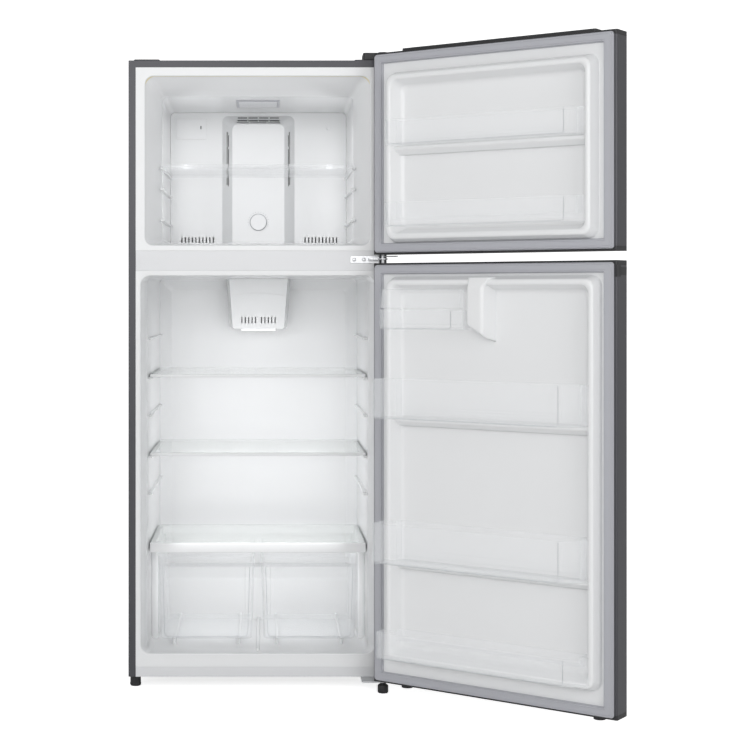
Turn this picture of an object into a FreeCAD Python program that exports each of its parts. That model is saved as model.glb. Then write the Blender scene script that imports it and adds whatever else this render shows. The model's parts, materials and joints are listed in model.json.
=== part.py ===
import FreeCAD, Part
import math
import os
from types import SimpleNamespace

import Sketcher
from FreeCAD import Placement, Rotation, Vector

# Top freezer refrigerator, two doors hinged on the right, in millimetres.
# +X is to the right, the doors face -Y and +Z is up. The origin lies on the floor, at the middle of
# the cabinet's footprint. Doors are drawn closed and then swung open about their hinge pivot.

DOC = FreeCAD.newDocument("TopFreezerRefrigerator")
SHEET = DOC.addObject("Spreadsheet::Sheet", "Sizes")
NODES = []

SIZES = {
    # cabinet
    "cabinet_width": 700,
    "cabinet_depth": 650,
    "cabinet_low": 33,
    "cabinet_high": 1704,
    "sheet_steel": 1,
    "front_skin": 2,
    "flange_side": 19.6,
    "flange_top": 19,
    "liner_wall": 2,
    "liner_depth": 590,
    "mullion_low": 1133,
    "mullion_high": 1189,
    "rail_high": 61,
    "channel_return": 16,
    "pan_sheet": 1.2,
    # freezer compartment
    "freezer_half": 304.4,
    "freezer_low": 1203.5,
    "freezer_high": 1661,
    "freezer_radius": 22,
    "freezer_wall_half": 265,
    "freezer_floor": 1212,
    "freezer_ceiling": 1618,
    "freezer_bevel": 100,
    "freezer_inner_radius": 14,
    "freezer_cover_depth": 500,
    # refrigerator compartment
    "fridge_half": 316.3,
    "fridge_low": 96,
    "fridge_high": 1120,
    "fridge_radius": 25,
    "fridge_wall_half": 303,
    "fridge_back_half": 300,
    "fridge_floor": 94,
    "fridge_ceiling": 1117,
    "fridge_bevel": 60,
    "back_chamfer": 34,
    "step_depth": 480,
    "step_lean": 12,
    "step_high": 244,
    "crisper_ledge_half": 283,
    "crisper_ledge_depth": 200,
    # shelf supports moulded in the walls
    "rib_reach": 8,
    "rib_thick": 6,
    "freezer_rib_front": 70,
    "freezer_rib_short": 10,
    "fridge_rib_front": 95,
    "fridge_rib_back": 540,
    "runner_inset": 40,
    "runner_wide": 8,
    "runner_front": 130,
    "seat_gap": 0.3,
    # rear cover, air duct and knob of the freezer
    "cover_wall": 3,
    "cover_skirt": 25,
    "duct_rise": 30,
    "duct_base_half": 109,
    "duct_face_half": 78,
    "duct_base_high": 1608,
    "duct_face_high": 1580,
    "duct_wall": 2.5,
    "fan_height": 1530,
    "fan_radius": 52,
    "fan_shaft": 3,
    "knob_height": 1286,
    "knob_radius": 23,
    "knob_rise": 9,
    "knob_shaft": 4,
    "turn_play": 0.05,
    "coil_low": 1235,
    "coil_high": 1440,
    "coil_half": 230,
    # air outlet of the refrigerator compartment
    "outlet_depth": 480,
    "outlet_half": 88,
    "outlet_foot_half": 77,
    "outlet_low": 966,
    "outlet_wall": 3,
    # shelves
    "glass_thick": 4,
    "trim_depth": 10,
    "trim_high": 8,
    "freezer_shelf_high": 1424,
    "freezer_shelf_front": 62,
    "freezer_shelf_clear": 5,
    "freezer_shelf_play": 2,
    "shelf_half": 299,
    "shelf_front": 100,
    "shelf_back": 520,
    "upper_shelf_high": 848,
    "lower_shelf_high": 630,
    # crisper cover and drawers
    "crisper_cover_low": 354,
    "crisper_cover_high": 380,
    "crisper_cover_back": 470,
    "drawer_low": 112,
    "drawer_head_room": 12,
    "drawer_front": 100,
    "drawer_back": 455,
    "drawer_outer": 277,
    "drawer_inner": 9,
    "drawer_taper": 7,
    "drawer_radius": 14,
    "drawer_wall": 2.5,
    # doors
    "door_gap": 12,
    "door_thick": 60,
    "door_width": 698,
    "door_edge_radius": 5,
    "door_cap": 12,
    "door_lip": 12,
    "door_angle": 144,
    "pivot_inset": 13,
    "pivot_reach": 40,
    "pin_radius": 4,
    "freezer_door_low": 1176,
    "freezer_door_high": 1714,
    "fridge_door_low": 35,
    "fridge_door_high": 1153,
    "gasket_hinge_side": 8,
    "gasket_free_side": 690,
    "gasket_end": 5,
    "gasket_band": 25,
    "gasket_thick": 11.5,
    "dike_hinge_side": 50,
    "dike_rise": 34,
    "dike_slope": 10,
    "dike_ridge": 12,
    "pan_slope": 16,
    "pan_level": 6,
    "dike_radius": 26,
    "dike_seat": 20,
    # door bins
    "bin_wall": 2.5,
    "bin_floor": 2.5,
    "bin_play": 2,
    # hinges, feet and rollers
    "hinge_plate": 4,
    "hinge_eye": 13,
    "cover_top": 1725,
    "cover_set_back": 1,
    "bottom_plate_left": 280,
    "foot_radius": 14.5,
    "foot_stud": 5,
    "left_foot_inset": 16,
    "left_foot_depth": 44,
    "roller_radius": 15,
    "roller_width": 16,
    "roller_x": 318,
    "roller_depth": 612,
    "roller_axle": 3,
    # machine compartment
    "machine_depth": 512,
    "machine_high": 205,
    "machine_plate": 2,
    "compressor_x": -150,
    "compressor_radius": 58,
    "mount_high": 12,
    "tube_radius": 3,
    "tray_high": 18,
}


class Size:
    """A number that remembers the spreadsheet formula it comes from."""

    def __init__(self, value, formula):
        self.value = value
        self.formula = formula

    def __float__(self):
        return float(self.value)

    def __add__(self, other):
        other = sized(other)
        return Size(self.value + other.value, f"({self.formula} + {other.formula})")

    def __sub__(self, other):
        other = sized(other)
        return Size(self.value - other.value, f"({self.formula} - {other.formula})")

    def __mul__(self, other):
        other = sized(other)
        return Size(self.value * other.value, f"({self.formula} * {other.formula})")

    def __truediv__(self, other):
        other = sized(other)
        return Size(self.value / other.value, f"({self.formula} / {other.formula})")

    def __radd__(self, other):
        return sized(other) + self

    def __rsub__(self, other):
        return sized(other) - self

    def __rmul__(self, other):
        return sized(other) * self

    def __neg__(self):
        return sized(0) - self


def sized(value):
    """The value as a Size, whether it is one already or a plain number."""
    if isinstance(value, Size):
        return value
    return Size(float(value), f"({float(value)!r})")


def fill_sheet():
    """Write every size into the spreadsheet and return them as Size objects."""
    for row, (alias, value) in enumerate(SIZES.items(), start=1):
        SHEET.set(f"A{row}", alias)
        SHEET.set(f"B{row}", str(value))
        SHEET.setAlias(f"B{row}", alias)
    DOC.recompute()
    return SimpleNamespace(**{alias: Size(float(SHEET.get(alias)), f"Sizes.{alias}") for alias in SIZES})


S = fill_sheet()
HALF = S.cabinet_width / 2
FRONT = -S.cabinet_depth / 2
BACK = S.cabinet_depth / 2
FLANGE_HALF = HALF - S.flange_side
PIVOT_X = HALF - S.pivot_inset
PIVOT_Y = FRONT - S.pivot_reach
LEFT_FOOT_X = S.left_foot_inset - HALF
DRAWER_HIGH = S.crisper_cover_low - S.drawer_head_room
FREEZER_SHELF_BACK = S.freezer_cover_depth - S.duct_rise - S.freezer_shelf_clear
FREEZER_RIB_BACK = FREEZER_SHELF_BACK - S.freezer_rib_short
DOOR_INNER = FRONT - S.door_gap
DOOR_OUTER = DOOR_INNER - S.door_thick
PLANE_TURN = {
    "XY": Rotation(),
    "XZ": Rotation(Vector(1, 0, 0), 90),
    "YZ": Rotation(Vector(1, 1, 1), 120),
}
PLANE_LEVEL = {"XY": "z", "XZ": "y", "YZ": "x"}
PLANE_WAY = {"XY": Vector(0, 0, 1), "XZ": Vector(0, 1, 0), "YZ": Vector(1, 0, 0)}
AXIS_TURN = {
    "X": Rotation(Vector(0, 1, 0), 90),
    "Y": Rotation(Vector(1, 0, 0), -90),
    "Z": Rotation(),
}


# ---- drawing helpers ----


def bind(thing, name, size):
    """Tie one property of a document object to the spreadsheet."""
    thing.setExpression(name, sized(size).formula)


def place(thing, x, y, z):
    """Tie the place of an object to the spreadsheet."""
    for axis, size in zip("xyz", (x, y, z)):
        bind(thing, f"Placement.Base.{axis}", size)


def box(x0, x1, y0, y1, z0, z1):
    """A plain block between two corners."""
    block = DOC.addObject("Part::Box", "Block")
    bind(block, "Length", sized(x1) - x0)
    bind(block, "Width", sized(y1) - y0)
    bind(block, "Height", sized(z1) - z0)
    place(block, x0, y0, z0)
    return block


def rod(radius, length, x, y, z, axis="Z"):
    """A cylinder that starts at a point and runs along +X, +Y or +Z."""
    cylinder = DOC.addObject("Part::Cylinder", "Rod")
    bind(cylinder, "Radius", radius)
    bind(cylinder, "Height", length)
    cylinder.Placement = Placement(Vector(), AXIS_TURN[axis])
    place(cylinder, x, y, z)
    return cylinder


def fuse(*shapes):
    """Shapes joined into one; a single shape is returned as it is."""
    if len(shapes) == 1:
        return shapes[0]
    joined = DOC.addObject("Part::MultiFuse", "Joined")
    joined.Shapes = list(shapes)
    return joined


def cut(base, *tools):
    """A shape with the tools taken out of it."""
    result = DOC.addObject("Part::Cut", "Cut")
    result.Base = base
    result.Tool = fuse(*tools)
    return result


def rect(a0, a1, b0, b1, radius=None):
    """Four corners, anticlockwise, all with the same rounding."""
    ends = [(a0, b0), (a1, b0), (a1, b1), (a0, b1)]
    return [(a, b, radius) if radius is not None else (a, b) for a, b in ends]


def turn_point(before, spot, after, radius):
    """Tangent points and centre of the arc that rounds one corner."""
    back = (before - spot).normalize()
    ahead = (after - spot).normalize()
    half = back.getAngle(ahead) / 2
    reach = radius / math.tan(half)
    centre = spot + (back + ahead).normalize() * (radius / math.sin(half))
    left_turn = back.cross(ahead).z < 0
    return spot + back * reach, spot + ahead * reach, centre, left_turn


def draw(sketch, corners):
    """Draw a closed outline in a sketch, fully constrained and tied to the spreadsheet.

    Each corner is (across, up) or (across, up, radius).
    """
    spots = [Vector(float(corner[0]), float(corner[1]), 0) for corner in corners]
    count = len(corners)
    joints = []
    for i, corner in enumerate(corners):
        if len(corner) == 3:
            joints.append(turn_point(spots[i - 1], spots[i], spots[(i + 1) % count], float(corner[2])))
        else:
            joints.append((spots[i], spots[i], None, True))
    lines = []
    for i in range(count):
        line = Part.LineSegment(joints[i][1], joints[(i + 1) % count][0])
        lines.append(sketch.addGeometry(line, False))
    tied = []
    free = []
    for i, corner in enumerate(corners):
        start, end, centre, left_turn = joints[i]
        if centre is None:
            free.append(Sketcher.Constraint("Coincident", lines[i - 1], 2, lines[i], 1))
            holder = lines[i]
        else:
            circle = Part.Circle(centre, Vector(0, 0, 1), float(corner[2]))
            first, last = (start, end) if left_turn else (end, start)
            angles = [math.atan2(p.y - centre.y, p.x - centre.x) for p in (first, last)]
            if angles[1] < angles[0]:
                angles[1] += 2 * math.pi
            arc = sketch.addGeometry(Part.ArcOfCircle(circle, *angles), False)
            holder = sketch.addGeometry(Part.Point(spots[i]), True)
            free.append(Sketcher.Constraint("PointOnObject", holder, 1, lines[i - 1]))
            free.append(Sketcher.Constraint("PointOnObject", holder, 1, lines[i]))
            arc_in, arc_out = (1, 2) if left_turn else (2, 1)
            free.append(Sketcher.Constraint("Tangent", lines[i - 1], 2, arc, arc_in))
            free.append(Sketcher.Constraint("Tangent", lines[i], 1, arc, arc_out))
            tied.append((Sketcher.Constraint("Radius", arc, float(corner[2])), corner[2]))
        tied.append((Sketcher.Constraint("DistanceX", holder, 1, spots[i].x), corner[0]))
        tied.append((Sketcher.Constraint("DistanceY", holder, 1, spots[i].y), corner[1]))
    sketch.addConstraint(free)
    for constraint, size in tied:
        index = sketch.addConstraint(constraint)
        bind(sketch, f"Constraints[{index}]", size)


def sketch_at(plane, level, *outlines):
    """A free sketch on a plane at a level along that plane's normal."""
    sketch = DOC.addObject("Sketcher::SketchObject", "Outline")
    sketch.Placement = Placement(Vector(), PLANE_TURN[plane])
    bind(sketch, f"Placement.Base.{PLANE_LEVEL[plane]}", level)
    for corners in outlines:
        draw(sketch, corners)
    return sketch


def prism(plane, start, end, *outlines):
    """An outline drawn out between two levels."""
    extrusion = DOC.addObject("Part::Extrusion", "Prism")
    extrusion.Base = sketch_at(plane, start, *outlines)
    extrusion.DirMode = "Custom"
    extrusion.Dir = PLANE_WAY[plane]
    bind(extrusion, "LengthFwd", sized(end) - start)
    extrusion.Solid = True
    return extrusion


def loft(plane, *sections):
    """A straight-sided solid through outlines; each section is (level, corners)."""
    solid = DOC.addObject("Part::Loft", "Loft")
    solid.Sections = [sketch_at(plane, level, corners) for level, corners in sections]
    solid.Solid = True
    solid.Ruled = True
    return solid


class Bench:
    """One PartDesign body, built feature by feature."""

    def __init__(self, label):
        self.body = DOC.addObject("PartDesign::Body", label)

    def plane(self, role):
        """One of the body's own origin planes or axes."""
        return next(item for item in self.body.Origin.OriginFeatures if item.Role == role)

    def sketch(self, plane, level, *outlines):
        """A sketch on an origin plane, moved to a level along world X, Y or Z."""
        sketch = self.body.newObject("Sketcher::SketchObject", "Profile")
        sketch.AttachmentSupport = (self.plane(f"{plane}_Plane"), [""])
        sketch.MapMode = "FlatFace"
        along = -sized(level) if plane == "XZ" else sized(level)
        bind(sketch, "AttachmentOffset.Base.z", along)
        for corners in outlines:
            draw(sketch, corners)
        return sketch

    def feature(self, kind, sketch, length, reverse):
        """A pad or a pocket of a given length."""
        item = self.body.newObject(f"PartDesign::{kind}", kind)
        item.Profile = sketch
        bind(item, "Length", length)
        item.Reversed = reverse
        return item

    def pad(self, plane, start, end, *outlines):
        """Material between two levels, start below end."""
        sketch = self.sketch(plane, start, *outlines)
        return self.feature("Pad", sketch, sized(end) - start, plane == "XZ")

    def pocket(self, plane, start, end, *outlines):
        """A hole between two levels, start below end."""
        sketch = self.sketch(plane, end if plane != "XZ" else start, *outlines)
        return self.feature("Pocket", sketch, sized(end) - start, False)

    def repeat(self, feature, axis, span, count):
        """The feature repeated along an origin axis, its last copy at the span."""
        pattern = self.body.newObject("PartDesign::LinearPattern", "Row")
        pattern.Originals = [feature]
        pattern.Direction = (self.plane(f"{axis}_Axis"), [""])
        bind(pattern, "Length", span)
        pattern.Occurrences = count
        self.body.Tip = pattern
        return pattern

    def revolve(self, corners):
        """A profile in the XZ plane turned about the Z axis."""
        sketch = self.sketch("XZ", 0, corners)
        item = self.body.newObject("PartDesign::Revolution", "Turned")
        item.Profile = sketch
        item.ReferenceAxis = (sketch, ["V_Axis"])
        item.Angle = 360
        return item


def turned(label, corners, x, y, z, axis="Z"):
    """A turned body: its profile is (radius, height) and its own axis is laid along X, Y or Z."""
    bench = Bench(label)
    bench.revolve(corners)
    bench.body.Placement = Placement(Vector(), AXIS_TURN[axis])
    place(bench.body, x, y, z)
    return bench.body


def node(label, thing, hung=False):
    """Register a finished piece under its file name; a hung piece swings open with its door."""
    thing.Label = label
    if hung:
        swing = "create(<<rotation>>; create(<<vector>>; 0; 0; 1); Sizes.door_angle)"
        pivot = f"create(<<vector>>; {PIVOT_X.formula}; {PIVOT_Y.formula}; 0)"
        origin = "create(<<vector>>; 0; 0; 0)"
        thing.setExpression("Placement", f"create(<<placement>>; {origin}; {swing}; {pivot})")
    NODES.append(thing)
    return thing


def deep(depth):
    """The Y of a depth behind the cabinet's front plane."""
    return FRONT + depth


# ---- cabinet ----


def cavity(sections, grow=0, lead=0):
    """A compartment's hollow, or with grow its outside, through (depth, half, low, high, radius)."""
    outlines = []
    first = sections[0]
    if float(lead) > 0:
        outlines.append((deep(-sized(lead)), rect(-first[1], first[1], *first[2:])))
    for number, (depth, half, low, high, radius) in enumerate(sections):
        extra = grow if number == len(sections) - 1 else 0
        corners = rect(-half - grow, half + grow, low - grow, high + grow, radius + grow)
        outlines.append((deep(sized(depth) + extra), corners))
    return loft("XZ", *outlines)


def freezer_sections():
    """The freezer compartment from its mouth to its back wall."""
    inner = (S.freezer_wall_half, S.freezer_floor, S.freezer_ceiling, S.freezer_inner_radius)
    return [
        (sized(0), S.freezer_half, S.freezer_low, S.freezer_high, S.freezer_radius),
        (S.freezer_bevel, *inner),
        (S.liner_depth, *inner),
    ]


def fridge_sections():
    """The refrigerator compartment from its mouth to its back wall."""
    chamfer = S.back_chamfer
    back = S.fridge_back_half
    radius = S.fridge_radius / 2
    return [
        (sized(0), S.fridge_half, S.fridge_low, S.fridge_high, S.fridge_radius),
        (S.fridge_bevel, S.fridge_wall_half, S.fridge_floor, S.fridge_ceiling, radius),
        (S.liner_depth - chamfer, back, S.fridge_floor, S.fridge_ceiling, radius),
        (S.liner_depth, back - chamfer, S.fridge_floor + chamfer, S.fridge_ceiling - chamfer, radius),
    ]


def step_corners(inset):
    """Side view of the raised step over the machine compartment, shrunk by an inset."""
    foot = deep(S.step_depth) + inset
    top = S.step_high - inset
    past = deep(S.liner_depth + 40)
    return [
        (foot, S.fridge_floor - 40),
        (past, S.fridge_floor - 40),
        (past, top),
        (foot + S.step_lean + 30, top, S.rib_reach),
        (foot + S.step_lean, top - 30, S.rib_reach),
    ]


def wall_ribs(half, top, front, back):
    """A pair of supports on the side walls, with their upper faces at one height."""
    inner = half - S.rib_reach
    outer = half + 60
    low = top - S.rib_thick
    left = box(-outer, -inner, deep(front), deep(back), low, top)
    right = box(inner, outer, deep(front), deep(back), low, top)
    return [left, right]


def freezer_rib_heights():
    """The heights at which the freezer shelf can stand."""
    seat = S.freezer_shelf_high - S.glass_thick - S.seat_gap
    return [seat, seat - 58, seat - 143]


def fridge_rib_heights():
    """The heights at which a refrigerator shelf can stand."""
    drop = S.trim_high + S.seat_gap
    upper = S.upper_shelf_high - drop
    lower = S.lower_shelf_high - drop
    return [upper + 110, upper, lower + 115, lower, lower - 102]


def build_liners():
    """Both inner liners and the foam that fills the cabinet around them."""
    skin = S.front_skin
    wall = S.liner_wall

    freezer_outer = cavity(freezer_sections(), wall)
    freezer_room = cavity(freezer_sections(), 0, S.liner_wall)
    ribs = []
    for height in freezer_rib_heights():
        ribs += wall_ribs(S.freezer_wall_half, height, S.freezer_rib_front, FREEZER_RIB_BACK)
    plate = box(-FLANGE_HALF, FLANGE_HALF, FRONT, FRONT + skin, S.mullion_high, S.cabinet_high - S.flange_top)
    node("freezer_liner", cut(fuse(freezer_outer, plate), cut(freezer_room, *ribs)))

    fridge_outer = cut(cavity(fridge_sections(), wall), prism("YZ", -HALF, HALF, step_corners(wall)))
    step = prism("YZ", -HALF, HALF, step_corners(sized(0)))
    ribs = [step]
    for height in fridge_rib_heights():
        ribs += wall_ribs(S.fridge_back_half, height, S.fridge_rib_front, S.fridge_rib_back)
    ledge = S.crisper_ledge_half
    for side in (-1, 1):
        low_x, high_x = sorted((side * ledge, side * HALF), key=float)
        ribs.append(box(low_x, high_x, deep(S.crisper_ledge_depth), deep(S.liner_depth),
                        S.fridge_floor - 20, S.crisper_cover_low))
        for away in (S.drawer_inner + S.runner_inset, S.drawer_outer - S.runner_inset - S.runner_wide):
            low_x, high_x = sorted((side * away, side * (away + S.runner_wide)), key=float)
            ribs.append(box(low_x, high_x, deep(S.runner_front), deep(S.step_depth + 5),
                            S.fridge_floor - 20, S.drawer_low - S.seat_gap))
    fridge_room = cut(cavity(fridge_sections(), 0, S.liner_wall), *ribs)
    plate = box(-FLANGE_HALF, FLANGE_HALF, FRONT, FRONT + skin, S.rail_high, S.mullion_low)
    node("fridge_liner", cut(fuse(fridge_outer, plate), fridge_room))

    pan = pan_line(S.pan_sheet)
    side = HALF - S.sheet_steel
    top = S.cabinet_high - S.sheet_steel
    rear = BACK - S.sheet_steel
    block = prism("YZ", -side, side, [*pan, (rear, top), (FRONT + skin, top)])
    stud = rod(S.foot_stud + 2, 8, LEFT_FOOT_X, deep(S.left_foot_depth), S.cabinet_low)
    rails = [box(-FLANGE_HALF, FLANGE_HALF, FRONT + skin, deep(S.channel_return), low, low + S.pan_sheet)
             for low in rail_returns()]
    node("cabinet_foam", cut(block, freezer_outer, fridge_outer, stud, *rails))


def rail_returns():
    """The lower faces of the folded edges of the mullion and of the lower rail."""
    return [S.mullion_low, S.mullion_high - S.pan_sheet, S.rail_high - S.pan_sheet]


def pan_line(lift):
    """Side view of the cabinet's folded floor, front to back; lift is its upper or lower face."""
    low = S.cabinet_low + lift
    high = S.machine_high + lift
    return [
        (FRONT + S.front_skin, low),
        (deep(S.machine_depth) - S.step_lean - lift, low),
        (deep(S.machine_depth) - lift, high),
        (BACK - S.sheet_steel, high + 10),
    ]


def build_casing():
    """The steel wrapper, back panel, folded floor and front rails."""
    sheet = S.sheet_steel
    skin = S.front_skin
    shell = box(-HALF, HALF, FRONT, BACK, S.cabinet_low, S.cabinet_high)
    room = box(-HALF + sheet, HALF - sheet, FRONT + skin, BACK + 1, S.cabinet_low - 1,
               S.cabinet_high - sheet)
    window = box(-FLANGE_HALF, FLANGE_HALF, FRONT - 1, FRONT + skin + 1, S.cabinet_low - 1,
                 S.cabinet_high - S.flange_top)
    node("cabinet_wrapper", cut(shell, room, window))

    pan_top = pan_line(S.pan_sheet)[3][1]
    panel = Bench("back_panel")
    panel.pad("XZ", BACK - sheet, BACK,
              rect(-HALF + sheet, HALF - sheet, pan_top, S.cabinet_high - sheet))
    node("back_panel", panel.body)

    for label, low, high in (("mullion_rail", S.mullion_low, S.mullion_high),
                             ("lower_front_rail", S.cabinet_low, S.rail_high)):
        rail = Bench(label)
        rail.pad("XZ", FRONT, FRONT + skin, rect(-FLANGE_HALF, FLANGE_HALF, low, high))
        edges = [high - S.pan_sheet]
        if label == "mullion_rail":
            edges.append(low)
        for edge in edges:
            rail.pad("XZ", FRONT, deep(S.channel_return),
                     rect(-FLANGE_HALF, FLANGE_HALF, edge, edge + S.pan_sheet))
        node(label, rail.body)

    side = HALF - sheet
    lower = pan_line(sized(0))
    upper = pan_line(S.pan_sheet)
    pieces = [prism("YZ", -side, side, lower + upper[::-1])]
    plate_front = deep(S.machine_depth) - S.step_lean - S.pan_sheet / 2
    plate_top = S.cabinet_low + S.machine_plate
    pieces.append(box(-side, side, plate_front, BACK - 4, S.cabinet_low, plate_top))
    for way in (-1, 1):
        low_x, high_x = sorted((way * side, way * (side - 2)), key=float)
        pieces.append(box(low_x, high_x, deep(S.machine_depth) + 2, BACK - 4, S.cabinet_low, S.machine_high - 3))
        for offset in (-S.roller_width / 2 - 2.5, S.roller_width / 2 + 0.5):
            x = way * S.roller_x + offset
            pieces.append(box(x, x + 2, deep(S.roller_depth) - 12, deep(S.roller_depth) + 12,
                              S.roller_radius - 6, S.cabinet_low + 1))
    holes = [
        rod(S.roller_axle + S.turn_play, S.cabinet_width, -HALF, deep(S.roller_depth), S.roller_radius, "X"),
        rod(S.foot_stud + S.turn_play, 8, LEFT_FOOT_X, deep(S.left_foot_depth), S.cabinet_low - 2),
    ]
    for way in (-1, 1):
        x = way * S.roller_x - S.roller_width / 2
        holes.append(box(x, x + S.roller_width, deep(S.roller_depth) - 18, deep(S.roller_depth) + 18,
                         S.cabinet_low - 2, plate_top + 1))
    node("base_pan", cut(fuse(*pieces), *holes))


# ---- freezer fittings ----


def slot_row(first_x, pitch, count, wide, y0, y1, z0, z1):
    """Upright slots in a row."""
    return [box(first_x + pitch * i, first_x + pitch * i + wide, y0, y1, z0, z1) for i in range(count)]


def build_freezer_fittings():
    """Rear cover, air duct, sensor cover, evaporator, fan and knob."""
    face = deep(S.freezer_cover_depth)
    low = S.freezer_floor + S.seat_gap
    high = S.freezer_ceiling - S.seat_gap
    half = S.freezer_wall_half - S.seat_gap
    wall = S.cover_wall

    cover = Bench("freezer_rear_cover")
    cover.pad("XZ", face, face + S.cover_skirt, rect(-half, half, low, high, S.freezer_inner_radius))
    cover.pocket("XZ", face + wall, face + S.cover_skirt + 1,
                 rect(-half + wall, half - wall, low + wall, high - wall, S.freezer_inner_radius))
    window = S.fan_radius + 4
    cover.pocket("XZ", face - 1, face + wall + 1,
                 rect(-window, window, S.fan_height - window, S.fan_height + window, window - 1))
    for first in (-233, 139):
        slot = cover.pocket("XZ", face - 1, face + wall + 1,
                            rect(first, first + 4, low + 3, low + 30, 1.5))
        cover.repeat(slot, "X", 95, 10)
    node("freezer_rear_cover", cover.body)

    rise = face - S.duct_rise
    foot = (S.duct_base_half, S.duct_base_high)
    crown = (S.duct_face_half, S.duct_face_high)
    thick = S.duct_wall
    outer = loft("XZ", (rise, rect(-crown[0], crown[0], low, crown[1], 18)),
                 (face, rect(-foot[0], foot[0], low, foot[1], 18)))
    inner = loft("XZ", (rise + thick, rect(thick - crown[0], crown[0] - thick, low + thick, crown[1] - thick, 16)),
                 (face + 1, rect(thick - foot[0], foot[0] - thick, low + thick, foot[1] - thick, 16)))
    middle = (S.duct_base_half + S.duct_face_half) / 2
    openings = []
    for z in (S.duct_base_high - 16, S.duct_base_high - 24):
        for x0, x1 in ((-66, -28), (-24, 24), (28, 66)):
            openings.append(box(x0, x1, rise - 1, face - 4, z, z + 3))
    for z0, z1 in ((1518, 1558), (1462, 1514), (1430, 1450), (1399, 1421)):
        for way in (-1, 1):
            x = way * middle - 2
            openings.append(box(x, x + 4, rise - 1, face - 4, z0, z1))
    openings.append(rod(S.knob_shaft + S.turn_play, 12, 0, rise - 1, S.knob_height, "Y"))
    node("freezer_duct_cover", cut(outer, inner, *openings))

    sensor = Bench("sensor_cover")
    sensor.pad("XZ", face - 3, face, rect(-248, -156, 1537, 1599, 4))
    sensor.pocket("XZ", face - 1, face, rect(-246, -158, 1539, 1597, 3))
    node("sensor_cover", sensor.body)

    coil_back = deep(S.liner_depth) - S.seat_gap
    coil_low, coil_high, coil_half = S.coil_low, S.coil_high, S.coil_half
    coil_front = face + S.cover_skirt + 1
    pieces = [box(-coil_half + 20 * i, -coil_half + 20 * i + 1, coil_front, coil_back, coil_low, coil_high)
              for i in range(24)]
    for i in range(5):
        for depth in (14, 44):
            pieces.append(rod(4, 2 * coil_half + 16, -coil_half - 8, coil_front + depth, coil_low + 22 + 40 * i, "X"))
    node("evaporator", fuse(*pieces))

    mount = face + wall
    ring = cut(rod(S.fan_radius + 12, 3, 0, mount, S.fan_height, "Y"),
               rod(S.fan_radius + 3, 5, 0, mount - 1, S.fan_height, "Y"))
    arms = [box(-S.fan_radius - 8, S.fan_radius + 8, mount, mount + 3, S.fan_height - 4, S.fan_height + 4),
            box(-4, 4, mount, mount + 3, S.fan_height - S.fan_radius - 8, S.fan_height + S.fan_radius + 8)]
    can = rod(24, 34, 0, mount, S.fan_height, "Y")
    bore = rod(S.fan_shaft + S.turn_play, 12, 0, mount - 1, S.fan_height, "Y")
    node("fan_motor", cut(fuse(ring, *arms, can), bore))

    hub = face - 18
    pieces = [rod(14, 14, 0, hub, S.fan_height, "Y"),
              rod(S.fan_shaft, 20 + wall, 0, hub + 6, S.fan_height, "Y")]
    for i in range(5):
        blade = DOC.addObject("Part::Box", "Blade")
        bind(blade, "Length", S.fan_radius - 8)
        blade.Width = 15
        blade.Height = 1.6
        turn = Placement(Vector(0, float(hub) + 7, float(S.fan_height)), Rotation(Vector(0, 1, 0), 72 * i))
        pitch = Placement(Vector(8, 0, 0), Rotation(Vector(1, 0, 0), 32))
        centred = Placement(Vector(0, -7.5, -0.8), Rotation())
        blade.Placement = turn.multiply(pitch).multiply(centred)
        pieces.append(blade)
    node("fan_blade", fuse(*pieces))

    plate = S.knob_rise
    knob = fuse(
        turned("knob_disc", [(0, 0), (S.knob_radius, 0), (S.knob_radius - 1, plate - 3), (S.knob_radius - 6, plate - 3),
                             (S.knob_radius - 7, plate - 6), (0, plate - 6)],
               0, rise - S.seat_gap - plate, S.knob_height, "Y"),
        box(-3, 3, rise - S.seat_gap - plate, rise - S.seat_gap - 1, S.knob_height - 17, S.knob_height + 17),
        rod(S.knob_shaft, 8, 0, rise - S.seat_gap - 2, S.knob_height, "Y"),
    )
    node("freezer_knob", knob)


# ---- refrigerator fittings, shelves and drawers ----


def build_fridge_fittings():
    """Air outlet housing and lamp."""
    front = deep(S.outlet_depth)
    back = deep(S.liner_depth - S.back_chamfer)
    high = S.fridge_ceiling - S.seat_gap
    low = S.outlet_low
    wall = S.outlet_wall

    def outline(inset, spread):
        top = S.outlet_half + spread - inset
        foot = S.outlet_foot_half + spread - inset
        return [(-foot, low + inset, 8), (foot, low + inset, 8), (top, high - inset), (-top, high - inset)]

    outer = loft("XZ", (front, outline(sized(0), 0)), (back, outline(sized(0), 10)))
    inner = loft("XZ", (front + wall, outline(wall, 0)), (back - wall, outline(wall, 10)))
    neck = box(-70, 70, back - 8, deep(S.liner_depth) - S.seat_gap, low + 30, high - 40)
    bore = box(-66, 66, back - 9, deep(S.liner_depth), low + 34, high - 44)
    slots = []
    for first in (-51, 8):
        slots += slot_row(first, 10.2, 5, 3, front - 1, front + wall + 1, low + 17, low + 36)
    node("air_outlet_housing", cut(fuse(cut(outer, inner), neck), bore, *slots))

    lens = Bench("lamp_lens")
    lens.pad("XY", low - 6, low, rect(-52, 52, front + 12, back - 12, 5))
    node("lamp_lens", lens.body)


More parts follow.
